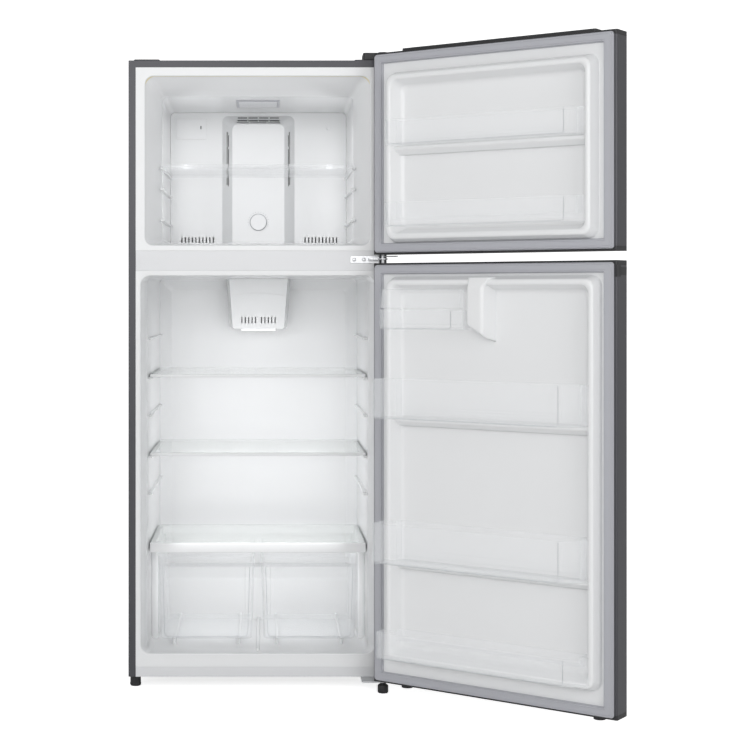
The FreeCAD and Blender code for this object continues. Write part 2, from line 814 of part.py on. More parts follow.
def build_shelves():
    """One freezer shelf and two refrigerator shelves, each glass in a trim."""
    half = S.freezer_wall_half - S.freezer_shelf_play
    top = S.freezer_shelf_high
    front = deep(S.freezer_shelf_front)
    back = deep(FREEZER_SHELF_BACK)
    plate = box(-half, half, front, back, top - S.glass_thick, top)
    bar = box(-half, half, front, front + 5, top - 9, top + 3)
    rear = box(-half, half, back - 4, back, top - S.glass_thick, top + 5)
    node("freezer_shelf", fuse(plate, bar, rear))

    for name, top in (("upper", S.upper_shelf_high), ("lower", S.lower_shelf_high)):
        half = S.shelf_half
        front = deep(S.shelf_front)
        back = deep(S.shelf_back)
        glass = Bench(f"{name}_shelf_glass")
        glass.pad("XY", top - S.glass_thick, top,
                  rect(-half, half, front + S.trim_depth, back - S.trim_depth))
        node(f"{name}_shelf_glass", glass.body)
        trim = Bench(f"{name}_shelf_trim")
        under = top - S.trim_high
        trim.pad("XY", under, top - S.glass_thick, rect(-half, half, front, back),
                 rect(-half + 12, half - 12, front + S.trim_depth, back - S.trim_depth))
        trim.pad("XY", under, top, rect(-half, half, front, front + S.trim_depth))
        trim.pad("XY", under, top, rect(-half, half, back - S.trim_depth, back))
        node(f"{name}_shelf_trim", trim.body)


def build_crispers():
    """The cover over the crisper drawers and the two drawers."""
    half = S.shelf_half
    front = deep(S.shelf_front) - 2
    back = deep(S.crisper_cover_back)
    low = S.crisper_cover_low
    high = S.crisper_cover_high
    glass = Bench("crisper_cover_glass")
    glass.pad("XY", high - S.glass_thick, high, rect(-half, half, front + 14, back))
    node("crisper_cover_glass", glass.body)
    frame = Bench("crisper_cover_trim")
    frame.pad("XY", low, high, rect(-half, half, front, front + 14))
    frame.pad("XY", low, high - S.glass_thick, rect(-half, half, front + 2, back),
              rect(-half + 14, half - 14, front + 16, back - 8))
    node("crisper_cover_trim", frame.body)

    wall = S.drawer_wall
    taper = S.drawer_taper
    radius = S.drawer_radius
    front = deep(S.drawer_front)
    back = deep(S.drawer_back)
    for name, way in (("left", -1), ("right", 1)):
        def outline(inset, way=way):
            x0, x1 = sorted((way * (S.drawer_inner + inset), way * (S.drawer_outer - inset)), key=float)
            return rect(x0, x1, front + inset, back - inset, radius)

        outer = loft("XY", (S.drawer_low, outline(taper)), (DRAWER_HIGH, outline(sized(0))))
        inner = loft("XY", (S.drawer_low + wall, outline(taper + wall)), (DRAWER_HIGH + 1, outline(wall)))
        node(f"crisper_{name}", cut(outer, inner))


# ---- doors ----


def door_x(away):
    """The X of a distance from the closed door's hinge-side edge."""
    return HALF - away


def door_y(rise):
    """The Y of a height above the closed door's inner face, into the cabinet."""
    return DOOR_INNER + rise


def door_rect(hinge_side, free_side, low, high, radius=None):
    """A rectangle on the closed door's inner face."""
    return rect(door_x(free_side), door_x(hinge_side), low, high, radius)


def dike_shapes(spec, inset, over=0):
    """The raised ring of a door liner and the pan inside it, or with an inset their foam side.

    The pan reaches over the top of the ring by a height, so that it opens the ring when it is cut out.
    """
    near = S.dike_hinge_side
    far = spec.dike_free_side
    low = spec.dike_low
    high = spec.dike_high
    slope = S.dike_slope
    rise = S.dike_rise - inset
    ring = loft("XZ",
                (door_y(-inset), door_rect(near + inset, far - inset, low + inset, high - inset,
                                                 S.dike_radius)),
                (door_y(rise), door_rect(near + slope + inset, far - slope - inset, low + slope + inset,
                                         high - slope - inset, S.dike_radius - 4)))
    ridge = slope + S.dike_ridge - inset
    deepest = ridge + S.pan_slope
    pan = loft("XZ",
               (door_y(-S.pan_level - inset), door_rect(near + deepest, far - deepest, low + deepest,
                                                        high - deepest, S.dike_radius - 4)),
               (door_y(S.dike_rise + over), door_rect(near + ridge, far - ridge, low + ridge, high - ridge,
                                                   S.dike_radius - 6)))
    return ring, pan


def bin_plans(spec, item, inset):
    """Plans of a door bin: its front over the dike, and the part that is tucked into the pan."""
    ridge = S.dike_rise + S.seat_gap
    near, far, reach = item.near, item.far, item.reach
    front = [
        (door_x(far - inset), door_y(ridge + inset)),
        (door_x(near + inset), door_y(ridge + inset)),
        (door_x(near + item.near_taper + inset), door_y(reach - inset), 8),
        (door_x(far - item.far_taper - inset), door_y(reach - inset), 10),
    ]
    tuck = S.dike_slope + S.dike_ridge + S.pan_slope + S.bin_play
    tuck_near = S.dike_hinge_side + tuck
    tuck_far = item.tuck_far if item.tuck_far is not None else spec.dike_free_side - tuck
    back = rect(door_x(tuck_far - inset), door_x(tuck_near + inset), door_y(inset - S.bin_play),
                door_y(ridge + S.bin_wall + inset * 0.5))
    return front, back


def build_door(spec):
    """One door: steel skin, foam, end caps, liner, gasket and bins, all hung on its pivot."""
    sheet = S.sheet_steel
    wall = S.liner_wall
    free = door_x(S.door_width)
    edge = S.door_edge_radius
    low = spec.low
    high = spec.high
    skin_low = low + S.door_cap
    skin_high = high - S.door_cap

    def plan(inset, radius):
        return rect(free + inset, HALF - inset, DOOR_OUTER + inset, DOOR_INNER - inset, radius)

    skin = prism("XY", skin_low, skin_high, plan(sized(0), edge))
    room = prism("XY", skin_low - 1, skin_high + 1, plan(sheet, edge - sheet))
    mouth = box(free + S.door_lip, HALF - S.door_lip, DOOR_INNER - 5, DOOR_INNER + 1, skin_low - 1, skin_high + 1)
    node(f"{spec.name}_panel", cut(skin, room, mouth), hung=True)

    ring, pan = dike_shapes(spec, sized(0), over=1)
    ring_back, pan_back = dike_shapes(spec, wall)
    plate = prism("XZ", door_y(-wall), door_y(0),
                  door_rect(S.door_lip + 0.5, S.door_width - S.door_lip - 0.5, skin_low, skin_high, 6))
    ledges = []
    for height in spec.ledges:
        ledges.append(box(door_x(spec.dike_free_side - S.dike_slope - 4), door_x(S.dike_hinge_side + S.dike_slope + 4),
                          door_y(-20), door_y(S.dike_seat), height - 10, height))
    ledges += spec.partition()
    pan_cut = cut(pan, *ledges)
    liner = cut(fuse(plate, ring, pan_back), pan_cut, cut(ring_back, pan_back))
    node(f"{spec.name}_liner", liner, hung=True)

    filling = box(free + sheet, HALF - sheet, DOOR_OUTER + sheet, DOOR_INNER - wall, skin_low, skin_high)
    filling = cut(filling, cut(box(free, HALF, DOOR_OUTER, DOOR_INNER, skin_low, skin_high),
                               prism("XY", skin_low, skin_high, plan(sheet, edge - sheet))))
    node(f"{spec.name}_foam", cut(fuse(filling, ring_back), pan_back), hung=True)

    gasket = Bench(f"{spec.name}_gasket")
    end = S.gasket_end
    band = S.gasket_band
    gasket.pad("XZ", door_y(0), door_y(S.gasket_thick),
               door_rect(S.gasket_hinge_side, S.gasket_free_side, low + end, high - end, 6),
               door_rect(S.gasket_hinge_side + band, S.gasket_free_side - band, low + end + band,
                         high - end - band, 4))
    node(f"{spec.name}_gasket", gasket.body, hung=True)

    for name, bottom in (("bottom_cap", low), ("top_cap", skin_high)):
        body = fuse(prism("XY", bottom, bottom + S.door_cap, plan(sized(0), edge)), *spec.cap_extras(name))
        hole = rod(S.pin_radius + S.turn_play, S.door_cap + 4, PIVOT_X, PIVOT_Y, bottom - 2)
        node(f"{spec.name}_{name}", cut(body, hole), hung=True)

    for item in spec.bins:
        front, back = bin_plans(spec, item, sized(0))
        outer = fuse(prism("XY", item.low, item.high, front), prism("XY", item.tuck_low, item.high, back))
        front, back = bin_plans(spec, item, S.bin_wall)
        inner = fuse(prism("XY", item.low + S.bin_floor, item.high + 1, front),
                     prism("XY", item.tuck_low + S.bin_floor, item.high + 1, back))
        node(item.name, cut(outer, inner), hung=True)


def bin_spec(name, low, high, reach, near, far, near_taper, far_taper, tuck_far=None, tuck_low=None):
    """The sizes of one door bin, measured from the door's hinge-side edge and inner face."""
    return SimpleNamespace(name=name, low=sized(low), high=sized(high), reach=sized(reach), near=sized(near),
                           far=sized(far), near_taper=near_taper, far_taper=far_taper,
                           tuck_far=None if tuck_far is None else sized(tuck_far),
                           tuck_low=sized(low if tuck_low is None else tuck_low))


def build_doors():
    """The freezer door and the refrigerator door."""
    raised = S.cabinet_high + 17

    def freezer_caps(name):
        if name == "bottom_cap":
            return []
        return [prism("XY", S.freezer_door_high - 1, raised,
                      rect(door_x(640), door_x(86), DOOR_OUTER + 6, DOOR_INNER - 4, 6))]

    def fridge_caps(name):
        if name == "top_cap":
            return []
        return [rod(15, 10, door_x(away), DOOR_INNER - 26, S.fridge_door_low - 9) for away in (90, 640)]

    def partition():
        return [prism("XZ", door_y(-20), door_y(S.dike_seat + 24),
                      [(door_x(350), 945), (door_x(305), 985), (door_x(305), S.fridge_high),
                       (door_x(350), S.fridge_high)])]

    freezer_bins = [
        bin_spec("freezer_bin_upper", 1460, 1528, 62, 60, 634, 14, 40),
        bin_spec("freezer_bin_lower", 1247, 1312, 62, 60, 634, 14, 40, tuck_low=S.freezer_low + 65),
    ]
    build_door(SimpleNamespace(
        name="freezer_door", low=S.freezer_door_low, high=S.freezer_door_high,
        dike_free_side=sized(650), dike_low=S.freezer_low + 3, dike_high=S.freezer_high - 3,
        ledges=[item.tuck_low - S.seat_gap for item in freezer_bins], partition=lambda: [],
        cap_extras=freezer_caps, bins=freezer_bins))

    fridge_bins = [
        bin_spec("fridge_bin_upper", 746, 849, 97, 52, 640, 4, 44),
        bin_spec("fridge_bin_middle", 368, 473, 97, 52, 640, 4, 44),
        bin_spec("fridge_bin_lower", 116, 186, 80, 52, 640, 4, 40, tuck_low=S.fridge_low + 64),
        bin_spec("dairy_bin", 978, 1030, 62, 52, 300, 4, 20, 292),
    ]
    build_door(SimpleNamespace(
        name="fridge_door", low=S.fridge_door_low, high=S.fridge_door_high,
        dike_free_side=sized(658), dike_low=S.fridge_low + 3, dike_high=S.fridge_high - 3,
        ledges=[item.tuck_low - S.seat_gap for item in fridge_bins[:3]], partition=partition,
        cap_extras=fridge_caps, bins=fridge_bins))

    dairy = fridge_bins[3]
    lid_high = 1084
    rest = S.dike_rise + S.seat_gap
    corners = [(door_y(rest), 1034), (door_y(62), 1034), (door_y(50), lid_high), (door_y(rest), lid_high)]
    shell = [(door_y(rest - 2), 1032), (door_y(59.5), 1032), (door_y(47.8), lid_high - 2.5),
             (door_y(rest - 2), lid_high - 2.5)]
    outer = prism("YZ", door_x(dairy.far - 4), door_x(dairy.near + 6), corners)
    inner = prism("YZ", door_x(dairy.far - 6.5), door_x(dairy.near + 8.5), shell)
    node("dairy_lid", cut(outer, inner), hung=True)


# ---- hinges, feet and machine compartment ----


def build_hinges():
    """Top, middle and bottom hinges with their cover, caps and screws."""
    top = S.cabinet_high
    thick = S.hinge_plate
    pivot = PIVOT_X
    eye = S.hinge_eye
    arm_low = S.freezer_door_high + 1.2
    base = box(264, HALF - 2, deep(6), deep(76), top, top + 3)
    riser = box(pivot - eye, HALF - 5, deep(6), deep(6) + thick, top, arm_low + thick)
    arm = box(pivot - eye, HALF - 5, PIVOT_Y, deep(6) + thick, arm_low, arm_low + thick)
    nose = rod(eye, thick, pivot, PIVOT_Y, arm_low)
    pin = rod(S.pin_radius, arm_low - S.freezer_door_high + 11, pivot, PIVOT_Y, S.freezer_door_high - 11)
    node("top_hinge", fuse(base, riser, arm, nose, pin))

    cover = prism("XY", top + 3, S.cover_top, rect(287, HALF - 3, deep(S.cover_set_back), deep(74), 6))
    hollow = prism("XY", top + 2, S.cover_top - 2, rect(289, HALF - 5 + 0.2, deep(S.cover_set_back + 2), deep(72), 4))
    gate = box(pivot - eye - 1, HALF - 4.5, FRONT - 1, deep(S.cover_set_back + 3), top + 2, arm_low + thick + 0.5)
    node("top_hinge_cover", cut(cover, hollow, gate))

    cap = Bench("top_left_cap")
    cap.pad("XY", top, top + 4, rect(-336, -266, deep(8), deep(48), 5))
    node("top_left_cap", cap.body)

    middle = (S.fridge_door_high + S.freezer_door_low) / 2
    plate = box(251, 330, FRONT - 3, FRONT, 1153.5, 1174)
    web = box(300, HALF - 2, PIVOT_Y, FRONT, middle - thick / 2, middle + thick / 2)
    nose = rod(eye, thick, pivot, PIVOT_Y, middle - thick / 2)
    pin = rod(S.pin_radius, S.freezer_door_low - S.fridge_door_high + 20, pivot, PIVOT_Y, S.fridge_door_high - 10)
    node("middle_hinge", fuse(plate, web, nose, pin))

    low = S.cabinet_low
    plate = prism("XY", low - thick, low, rect(S.bottom_plate_left, HALF, PIVOT_Y - eye, deep(62), 8))
    pin = rod(S.pin_radius, 13, pivot, PIVOT_Y, low - 1)
    thread = rod(S.foot_stud + S.turn_play, thick / 2, pivot, PIVOT_Y, low - thick)
    node("bottom_hinge", cut(fuse(plate, pin), thread))

    screws = []
    for x, depth in ((276, 24), (276, 58)):
        screws.append(turned("screw", screw_profile(), x, deep(depth), top + 3))
    for x in (262, 288):
        screws.append(turned("screw", [(r, -z) for r, z in screw_profile()][::-1], x, FRONT - 3,
                             (1153.5 + 1174) / 2, "Y"))
    node("hinge_screws", fuse(*screws))


def screw_profile():
    """Half section of a low round screw head."""
    return [(0, 0), (5, 0), (5, 1), (3.6, 2.2), (0, 2.8)]


def build_feet():
    """Two screw feet at the front and two rollers at the back."""
    radius = S.foot_radius
    stud = S.foot_stud
    pan = S.cabinet_low - S.seat_gap
    profile = [(0, 0), (radius - 1.5, 0), (radius, 2), (radius, pan), (stud, pan), (stud, pan + 1.8), (0, pan + 1.8)]
    node("foot_left", turned("foot", profile, LEFT_FOOT_X, deep(S.left_foot_depth), 0))

    bracket = S.cabinet_low - S.hinge_plate - S.seat_gap
    profile = [(0, 0), (radius - 2, 0), (radius, 3), (radius, bracket - 9), (radius - 3, bracket - 6),
               (stud + 3, bracket - 5), (stud + 3, bracket), (stud, bracket), (stud, bracket + 1.8),
               (0, bracket + 1.8)]
    node("foot_right", turned("foot", profile, PIVOT_X, PIVOT_Y, 0))

    wide = S.roller_width / 2 - 0.5
    rim = S.roller_radius
    axle = S.roller_axle
    profile = [(0, -wide - 3), (axle, -wide - 3), (axle, -wide), (rim - 1, -wide), (rim, 1 - wide),
               (rim, wide - 1), (rim - 1, wide), (axle, wide), (axle, wide + 3), (0, wide + 3)]
    rollers = [turned("roller", profile, way * S.roller_x, deep(S.roller_depth), S.roller_radius, "X")
               for way in (-1, 1)]
    node("rear_rollers", fuse(*rollers))


def build_machine_room():
    """Compressor on its mounts, condenser coil, drip tray, rear cover and power inlet."""
    floor = S.cabinet_low + S.machine_plate
    x = S.compressor_x
    y = (deep(S.machine_depth) + BACK) / 2
    radius = S.compressor_radius
    base = floor + S.mount_high
    profile = [(0, 0), (radius - 14, 0), (radius, 16), (radius, 104, 24), (radius - 26, 132, 16), (0, 136)]
    pot = turned("pot", profile, x, y, base + 2)
    plate = box(x - 84, x + 84, y - 46, y + 46, base, base + 3)
    node("compressor", fuse(pot, plate))

    corners = [(dx, dy) for dx in (-72, 72) for dy in (-34, 34)]
    mounts = [rod(11, S.mount_high, x + dx, y + dy, floor) for dx, dy in corners]
    node("compressor_mounts", fuse(*mounts))

    tray_low = base + 138
    outer = box(x - 90, x + 90, y - 55, y + 55, tray_low, tray_low + S.tray_high)
    inner = box(x - 88, x + 88, y - 53, y + 53, tray_low + S.machine_plate, tray_low + S.tray_high + 1)
    posts = [box(x + dx - 3, x + dx + 3, y - 54, y - 48, base + 3, tray_low + 1) for dx in (-81, 81)]
    feet = [box(x + dx - 3, x + dx + 3, y - 54, y - 40, base + 3, base + 5) for dx in (-81, 81)]
    node("drip_tray", cut(fuse(outer, *posts, *feet), inner))

    tube = S.tube_radius
    pieces = []
    left, right = 20, 270
    bend = 14
    rows = 5
    for side in (-26, 26):
        for i in range(rows):
            z = floor + 18 + 2 * bend * i
            pieces.append(rod(tube, right - left, left, y + side, z, "X"))
            if i < rows - 1:
                bow = DOC.addObject("Part::Torus", "Bow")
                bind(bow, "Radius1", bend)
                bind(bow, "Radius2", tube)
                bow.Angle3 = 180
                turn = Rotation(Vector(1, 0, 0), 90)
                spin = Rotation(Vector(0, 0, 1), -90 if i % 2 == 0 else 90)
                bow.Placement = Placement(Vector(), turn.multiply(spin))
                place(bow, right if i % 2 == 0 else left, y + side, z + bend)
                pieces.append(bow)
    for x0 in (60, 220):
        pieces.append(box(x0, x0 + 2, y - 34, y + 34, floor, floor + 24 + 2 * bend * (rows - 1)))
    node("condenser_coil", fuse(*pieces))

    cover = Bench("rear_compartment_cover")
    side = HALF - S.sheet_steel
    cover.pad("XZ", BACK - 4, BACK, rect(-side, side, S.cabinet_low, S.machine_high - 1, 4))
    for z in (90, 130):
        slot = cover.pocket("XZ", BACK - 5, BACK + 1, rect(-290, -284, z, z + 26, 2.5))
        cover.repeat(slot, "X", 440, 38)
    cover.pocket("XZ", BACK - 5, BACK + 1, rect(247, 281, 148, 176))
    node("rear_compartment_cover", cover.body)

    inlet = Bench("power_inlet")
    inlet.pad("XZ", BACK - 26, BACK, rect(247, 281, 148, 176))
    inlet.pocket("XZ", BACK - 18, BACK + 1, rect(251, 277, 152, 172, 3))
    for x0, z0 in ((256, 158), (263, 164), (270, 158)):
        inlet.pad("XZ", BACK - 19, BACK - 5, rect(x0, x0 + 2, z0, z0 + 4))
    node("power_inlet", inlet.body)


def check_and_export():
    """Stop on any failed object or shape, then write one STEP file for each node."""
    DOC.recompute()
    for item in DOC.Objects:
        if "Invalid" in item.State or "Error" in item.State:
            raise RuntimeError(f"{item.Name} ({item.Label}) failed: {item.State}")
    os.makedirs("parts", exist_ok=True)
    for item in NODES:
        shape = item.Shape
        if shape.isNull() or not shape.isValid() or not shape.Solids:
            raise RuntimeError(f"{item.Label} has no valid shape")
        shape.exportStep(f"parts/{item.Label}.step")
        print(f"{item.Label}: {len(shape.Solids)} solid(s), {shape.Volume / 1000:.1f} cm3")
    print(len(NODES), "nodes")


build_casing()
build_liners()
build_freezer_fittings()
build_fridge_fittings()
build_shelves()
build_crispers()
build_doors()
build_hinges()
build_feet()
build_machine_room()
check_and_export()
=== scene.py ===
"""Looks of a top freezer refrigerator with both doors open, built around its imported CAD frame."""

from __future__ import annotations

import json
import logging
import math
from dataclasses import dataclass, field
from enum import Enum
from typing import Callable, ClassVar, Optional, Sequence

import bmesh
import bpy
from mathutils import Matrix, Vector

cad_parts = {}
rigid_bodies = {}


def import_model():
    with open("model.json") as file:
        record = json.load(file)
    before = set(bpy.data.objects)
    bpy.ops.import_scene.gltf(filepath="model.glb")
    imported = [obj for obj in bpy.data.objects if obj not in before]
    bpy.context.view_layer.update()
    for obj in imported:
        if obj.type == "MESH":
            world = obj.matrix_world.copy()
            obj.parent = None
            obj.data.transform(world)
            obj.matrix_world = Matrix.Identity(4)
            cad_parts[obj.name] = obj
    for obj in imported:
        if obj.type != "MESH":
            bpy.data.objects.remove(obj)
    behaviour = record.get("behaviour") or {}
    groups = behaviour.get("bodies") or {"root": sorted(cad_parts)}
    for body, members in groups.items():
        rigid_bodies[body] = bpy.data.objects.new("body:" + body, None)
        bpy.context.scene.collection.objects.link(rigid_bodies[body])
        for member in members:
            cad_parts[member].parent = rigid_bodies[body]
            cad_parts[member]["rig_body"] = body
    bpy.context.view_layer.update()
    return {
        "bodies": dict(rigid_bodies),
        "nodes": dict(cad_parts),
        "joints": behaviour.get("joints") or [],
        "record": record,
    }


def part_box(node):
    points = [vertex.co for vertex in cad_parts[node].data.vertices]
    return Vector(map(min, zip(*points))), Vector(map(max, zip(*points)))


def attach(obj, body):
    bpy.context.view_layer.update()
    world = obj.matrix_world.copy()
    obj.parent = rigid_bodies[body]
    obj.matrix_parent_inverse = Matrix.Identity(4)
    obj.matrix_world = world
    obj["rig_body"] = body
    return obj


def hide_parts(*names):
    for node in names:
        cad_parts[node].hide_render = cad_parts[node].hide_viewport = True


LOG = logging.getLogger("refrigerator")
MM = 0.001
FRONT = -325.0
BULGE = 0.1

Loop = list[Vector]
Flat = list[tuple[float, float]]
Mapping = Callable[[float, float, float], Vector]


class Slot(Enum):
    """The record's material slots."""

    DARK_STEEL = "dark_steel"
    GALVANISED = "galvanised"
    FOAM = "foam"
    WHITE_PLASTIC = "white_plastic"
    WHITE_STEEL = "white_steel"
    ALUMINIUM = "aluminium"
    DARK_PLASTIC = "dark_plastic"
    FROSTED = "frosted_plastic"
    GLASS = "glass"
    CLEAR = "clear_plastic"
    ZINC = "zinc"
    BLACK_STEEL = "black_steel"
    RUBBER = "rubber_black"
    GASKET = "gasket_grey"


# ---- finishes ----


def linear(code: str) -> tuple[float, float, float, float]:
    """A colour for a shader from its six-digit code."""
    parts = [int(code[i:i + 2], 16) / 255 for i in (0, 2, 4)]
    low = [c / 12.92 if c <= 0.04045 else ((c + 0.055) / 1.055) ** 2.4 for c in parts]
    return (low[0], low[1], low[2], 1.0)


class Net:
    """Short calls for the nodes and links of one tree."""

    def __init__(self, tree: bpy.types.NodeTree) -> None:
        """Keep the tree."""
        self.tree = tree

    def add(self, kind: str, values: Optional[dict[str | int, object]] = None,
            **settings: object) -> bpy.types.Node:
        """A new node.

        Args:
            kind: Its type.
            values: A value, or another node's output, for each of its inputs.
            settings: Its other properties.

        Returns:
            The node.
        """
        node = self.tree.nodes.new(kind)
        for name, value in settings.items():
            setattr(node, name, value)
        self.feed(node, values or {})
        return node

    def feed(self, node: bpy.types.Node, values: dict[str | int, object]) -> None:
        """Give a node's inputs a value, or another node's output, each."""
        for socket, value in values.items():
            if isinstance(value, bpy.types.NodeSocket):
                self.tree.links.new(value, node.inputs[socket])
            else:
                node.inputs[socket].default_value = value

    def sum(self, operation: str, *values: object) -> bpy.types.NodeSocket:
        """The result of one sum on values or outputs."""
        return self.add("ShaderNodeMath", dict(enumerate(values)), operation=operation).outputs[0]


class ShaderGroups:
    """Shader node groups that several finishes share."""

    def __init__(self) -> None:
        """Build each group once."""
        self.grain = self.make_grain()
        self.dust = self.make_dust()
        self.brushed = self.make_brushed()

    @staticmethod
    def fresh(name: str, inputs: Sequence[tuple[str, str, object]],
              outputs: Sequence[tuple[str, str]]) -> tuple[Net, bpy.types.Node, bpy.types.Node]:
        """An empty group with named sockets.

        Args:
            name: The group's name.
            inputs: Name, socket type and default of each input.
            outputs: Name and socket type of each output.

        Returns:
            The net of its tree, its input node and its output node.
        """
        tree = bpy.data.node_groups.new(name, "ShaderNodeTree")
        for label, kind, value in inputs:
            socket = tree.interface.new_socket(label, in_out="INPUT", socket_type=kind)
            if value is not None:
                socket.default_value = value
        for label, kind in outputs:
            tree.interface.new_socket(label, in_out="OUTPUT", socket_type=kind)
        return Net(tree), tree.nodes.new("NodeGroupInput"), tree.nodes.new("NodeGroupOutput")

    def make_grain(self) -> bpy.types.NodeTree:
        """Fine moulded grain: an uneven colour, an uneven gloss and a height."""
        net, start, end = self.fresh(
            "MouldedGrain",
            [("Vector", "NodeSocketVector", None), ("Colour", "NodeSocketColor", (0.8, 0.8, 0.8, 1)),
             ("Scale", "NodeSocketFloat", 900.0), ("Mottle", "NodeSocketFloat", 0.03),
             ("Roughness", "NodeSocketFloat", 0.3), ("Spread", "NodeSocketFloat", 0.05)],
            [("Colour", "NodeSocketColor"), ("Roughness", "NodeSocketFloat"), ("Height", "NodeSocketFloat")])
        given = start.outputs
        fine = net.add("ShaderNodeTexNoise", {"Vector": given["Vector"], "Scale": given["Scale"]})
        broad = net.add("ShaderNodeTexNoise", {"Vector": given["Vector"], "Scale": 3.5, "Detail": 3.0})
        centred = net.sum("SUBTRACT", broad.outputs["Fac"], 0.5)
        amount = net.sum("MULTIPLY_ADD", centred, given["Mottle"], 1.0)
        tinted = net.add("ShaderNodeVectorMath", {0: given["Colour"], "Scale": amount}, operation="SCALE")
        gloss = net.sum("MULTIPLY_ADD", centred, given["Spread"], given["Roughness"])
        net.feed(end, {"Colour": tinted.outputs[0], "Roughness": gloss, "Height": fine.outputs["Fac"]})
        return net.tree

    def make_dust(self) -> bpy.types.NodeTree:
        """Light dust that settles on faces that look up."""
        net, start, end = self.fresh(
            "SettledDust",
            [("Vector", "NodeSocketVector", None), ("Colour", "NodeSocketColor", (0.8, 0.8, 0.8, 1)),
             ("Dust", "NodeSocketColor", (0.5, 0.49, 0.46, 1)), ("Amount", "NodeSocketFloat", 0.2)],
            [("Colour", "NodeSocketColor"), ("Mask", "NodeSocketFloat")])
        given = start.outputs
        facing = net.add("ShaderNodeNewGeometry").outputs["Normal"]
        split = net.add("ShaderNodeSeparateXYZ", {0: facing})
        up = net.add("ShaderNodeMapRange", {"From Min": 0.6, "Value": split.outputs["Z"]})
        noise = net.add("ShaderNodeTexNoise", {"Vector": given["Vector"], "Scale": 24.0})
        patch = net.sum("MULTIPLY", up.outputs[0], noise.outputs["Fac"])
        share = net.sum("MULTIPLY", patch, given["Amount"])
        mix = net.add("ShaderNodeMix", {0: share, 6: given["Colour"], 7: given["Dust"]}, data_type="RGBA")
        net.feed(end, {"Colour": mix.outputs[2], "Mask": share})
        return net.tree

    def make_brushed(self) -> bpy.types.NodeTree:
        """Long fine strokes of a rolled or brushed metal sheet."""
        net, start, end = self.fresh(
            "BrushedStrokes",
            [("Vector", "NodeSocketVector", None), ("Stretch", "NodeSocketVector", (900.0, 900.0, 12.0)),
             ("Roughness", "NodeSocketFloat", 0.3), ("Spread", "NodeSocketFloat", 0.1)],
            [("Roughness", "NodeSocketFloat"), ("Height", "NodeSocketFloat")])
        given = start.outputs
        drawn = net.add("ShaderNodeVectorMath", {0: given["Vector"], 1: given["Stretch"]},
                        operation="MULTIPLY")
        noise = net.add("ShaderNodeTexNoise", {"Vector": drawn.outputs[0], "Scale": 1.0})
        gloss = net.sum("MULTIPLY_ADD", noise.outputs["Fac"], given["Spread"], given["Roughness"])
        net.feed(end, {"Roughness": gloss, "Height": noise.outputs["Fac"]})
        return net.tree


@dataclass(frozen=True)
class Finish:
    """One finish and the values of its shader."""

    BUMP_DEPTH: ClassVar[float] = 0.0004
    COAT_ROUGHNESS: ClassVar[float] = 0.06
    IOR: ClassVar[float] = 1.47
    FILM_BLEND: ClassVar[float] = 0.28
    FILM_GAIN: ClassVar[float] = 0.5
    FILM_MOST: ClassVar[float] = 0.92
    SHADE_LOSS: ClassVar[float] = 0.93

    slot: Slot
    colour: str
    roughness: float
    spread: float = 0.06
    mottle: float = 0.03
    grain_scale: float = 900.0
    bump: float = 0.04
    metallic: float = 0.0
    coat: float = 0.0
    film: float = 0.0
    brushed: bool = False
    dust: float = 0.12
    glow: float = 0.0

    def build(self, groups: ShaderGroups, name: Optional[str] = None) -> bpy.types.Material:
        """Build the material.

        Args:
            groups: The shared shader groups.
            name: The material's name, by default the slot's.

        Returns:
            The finished material.
        """
        material = bpy.data.materials.new(name or self.slot.value)
        material.use_nodes = True
        material.node_tree.nodes.clear()
        net = Net(material.node_tree)
        shader = net.add("ShaderNodeBsdfPrincipled", {
            "Metallic": self.metallic, "IOR": self.IOR, "Coat Weight": self.coat,
            "Coat Roughness": self.COAT_ROUGHNESS})
        net.add("ShaderNodeOutputMaterial", {0: shader.outputs[0]})
        place = net.add("ShaderNodeTexCoord").outputs["Object"]
        surface = net.add("ShaderNodeGroup", {
            "Vector": place, "Colour": linear(self.colour), "Scale": self.grain_scale, "Mottle": self.mottle,
            "Roughness": self.roughness, "Spread": self.spread}, node_tree=groups.grain)
        colour = surface.outputs["Colour"]
        if self.brushed:
            surface = net.add("ShaderNodeGroup", {"Vector": place, "Roughness": self.roughness,
                                                  "Spread": self.spread}, node_tree=groups.brushed)
        if self.film:
            self.thin_film(net, shader)
        else:
            dust = net.add("ShaderNodeGroup", {"Vector": place, "Colour": colour, "Amount": self.dust},
                           node_tree=groups.dust)
            colour = dust.outputs["Colour"]
        if self.glow:
            net.feed(shader, {"Emission Color": (1.0, 1.0, 1.0, 1.0), "Emission Strength": self.glow})
        bump = net.add("ShaderNodeBump", {"Strength": self.bump, "Distance": self.BUMP_DEPTH,
                                          "Height": surface.outputs["Height"]})
        net.feed(shader, {"Base Color": colour, "Roughness": surface.outputs["Roughness"],
                          "Normal": bump.outputs[0]})
        return material

    def thin_film(self, net: Net, shader: bpy.types.ShaderNode) -> None:
        """Let a clear wall show more of itself where it is seen edge on, and throw hardly any shade.

        Args:
            net: The net of the material's tree.
            shader: Its main shader.
        """
        slant = net.add("ShaderNodeLayerWeight", {"Blend": self.FILM_BLEND})
        most = min(self.FILM_MOST, self.film + self.FILM_GAIN)
        body = net.add("ShaderNodeMapRange",
                       {"To Min": self.film, "To Max": most, "Value": slant.outputs["Facing"]})
        rays = net.add("ShaderNodeLightPath").outputs
        soft = net.sum("MAXIMUM", rays["Is Shadow Ray"], rays["Is Diffuse Ray"])
        keep = net.sum("MULTIPLY_ADD", soft, -self.SHADE_LOSS, 1.0)
        net.feed(shader, {"Alpha": net.sum("MULTIPLY", body.outputs[0], keep)})


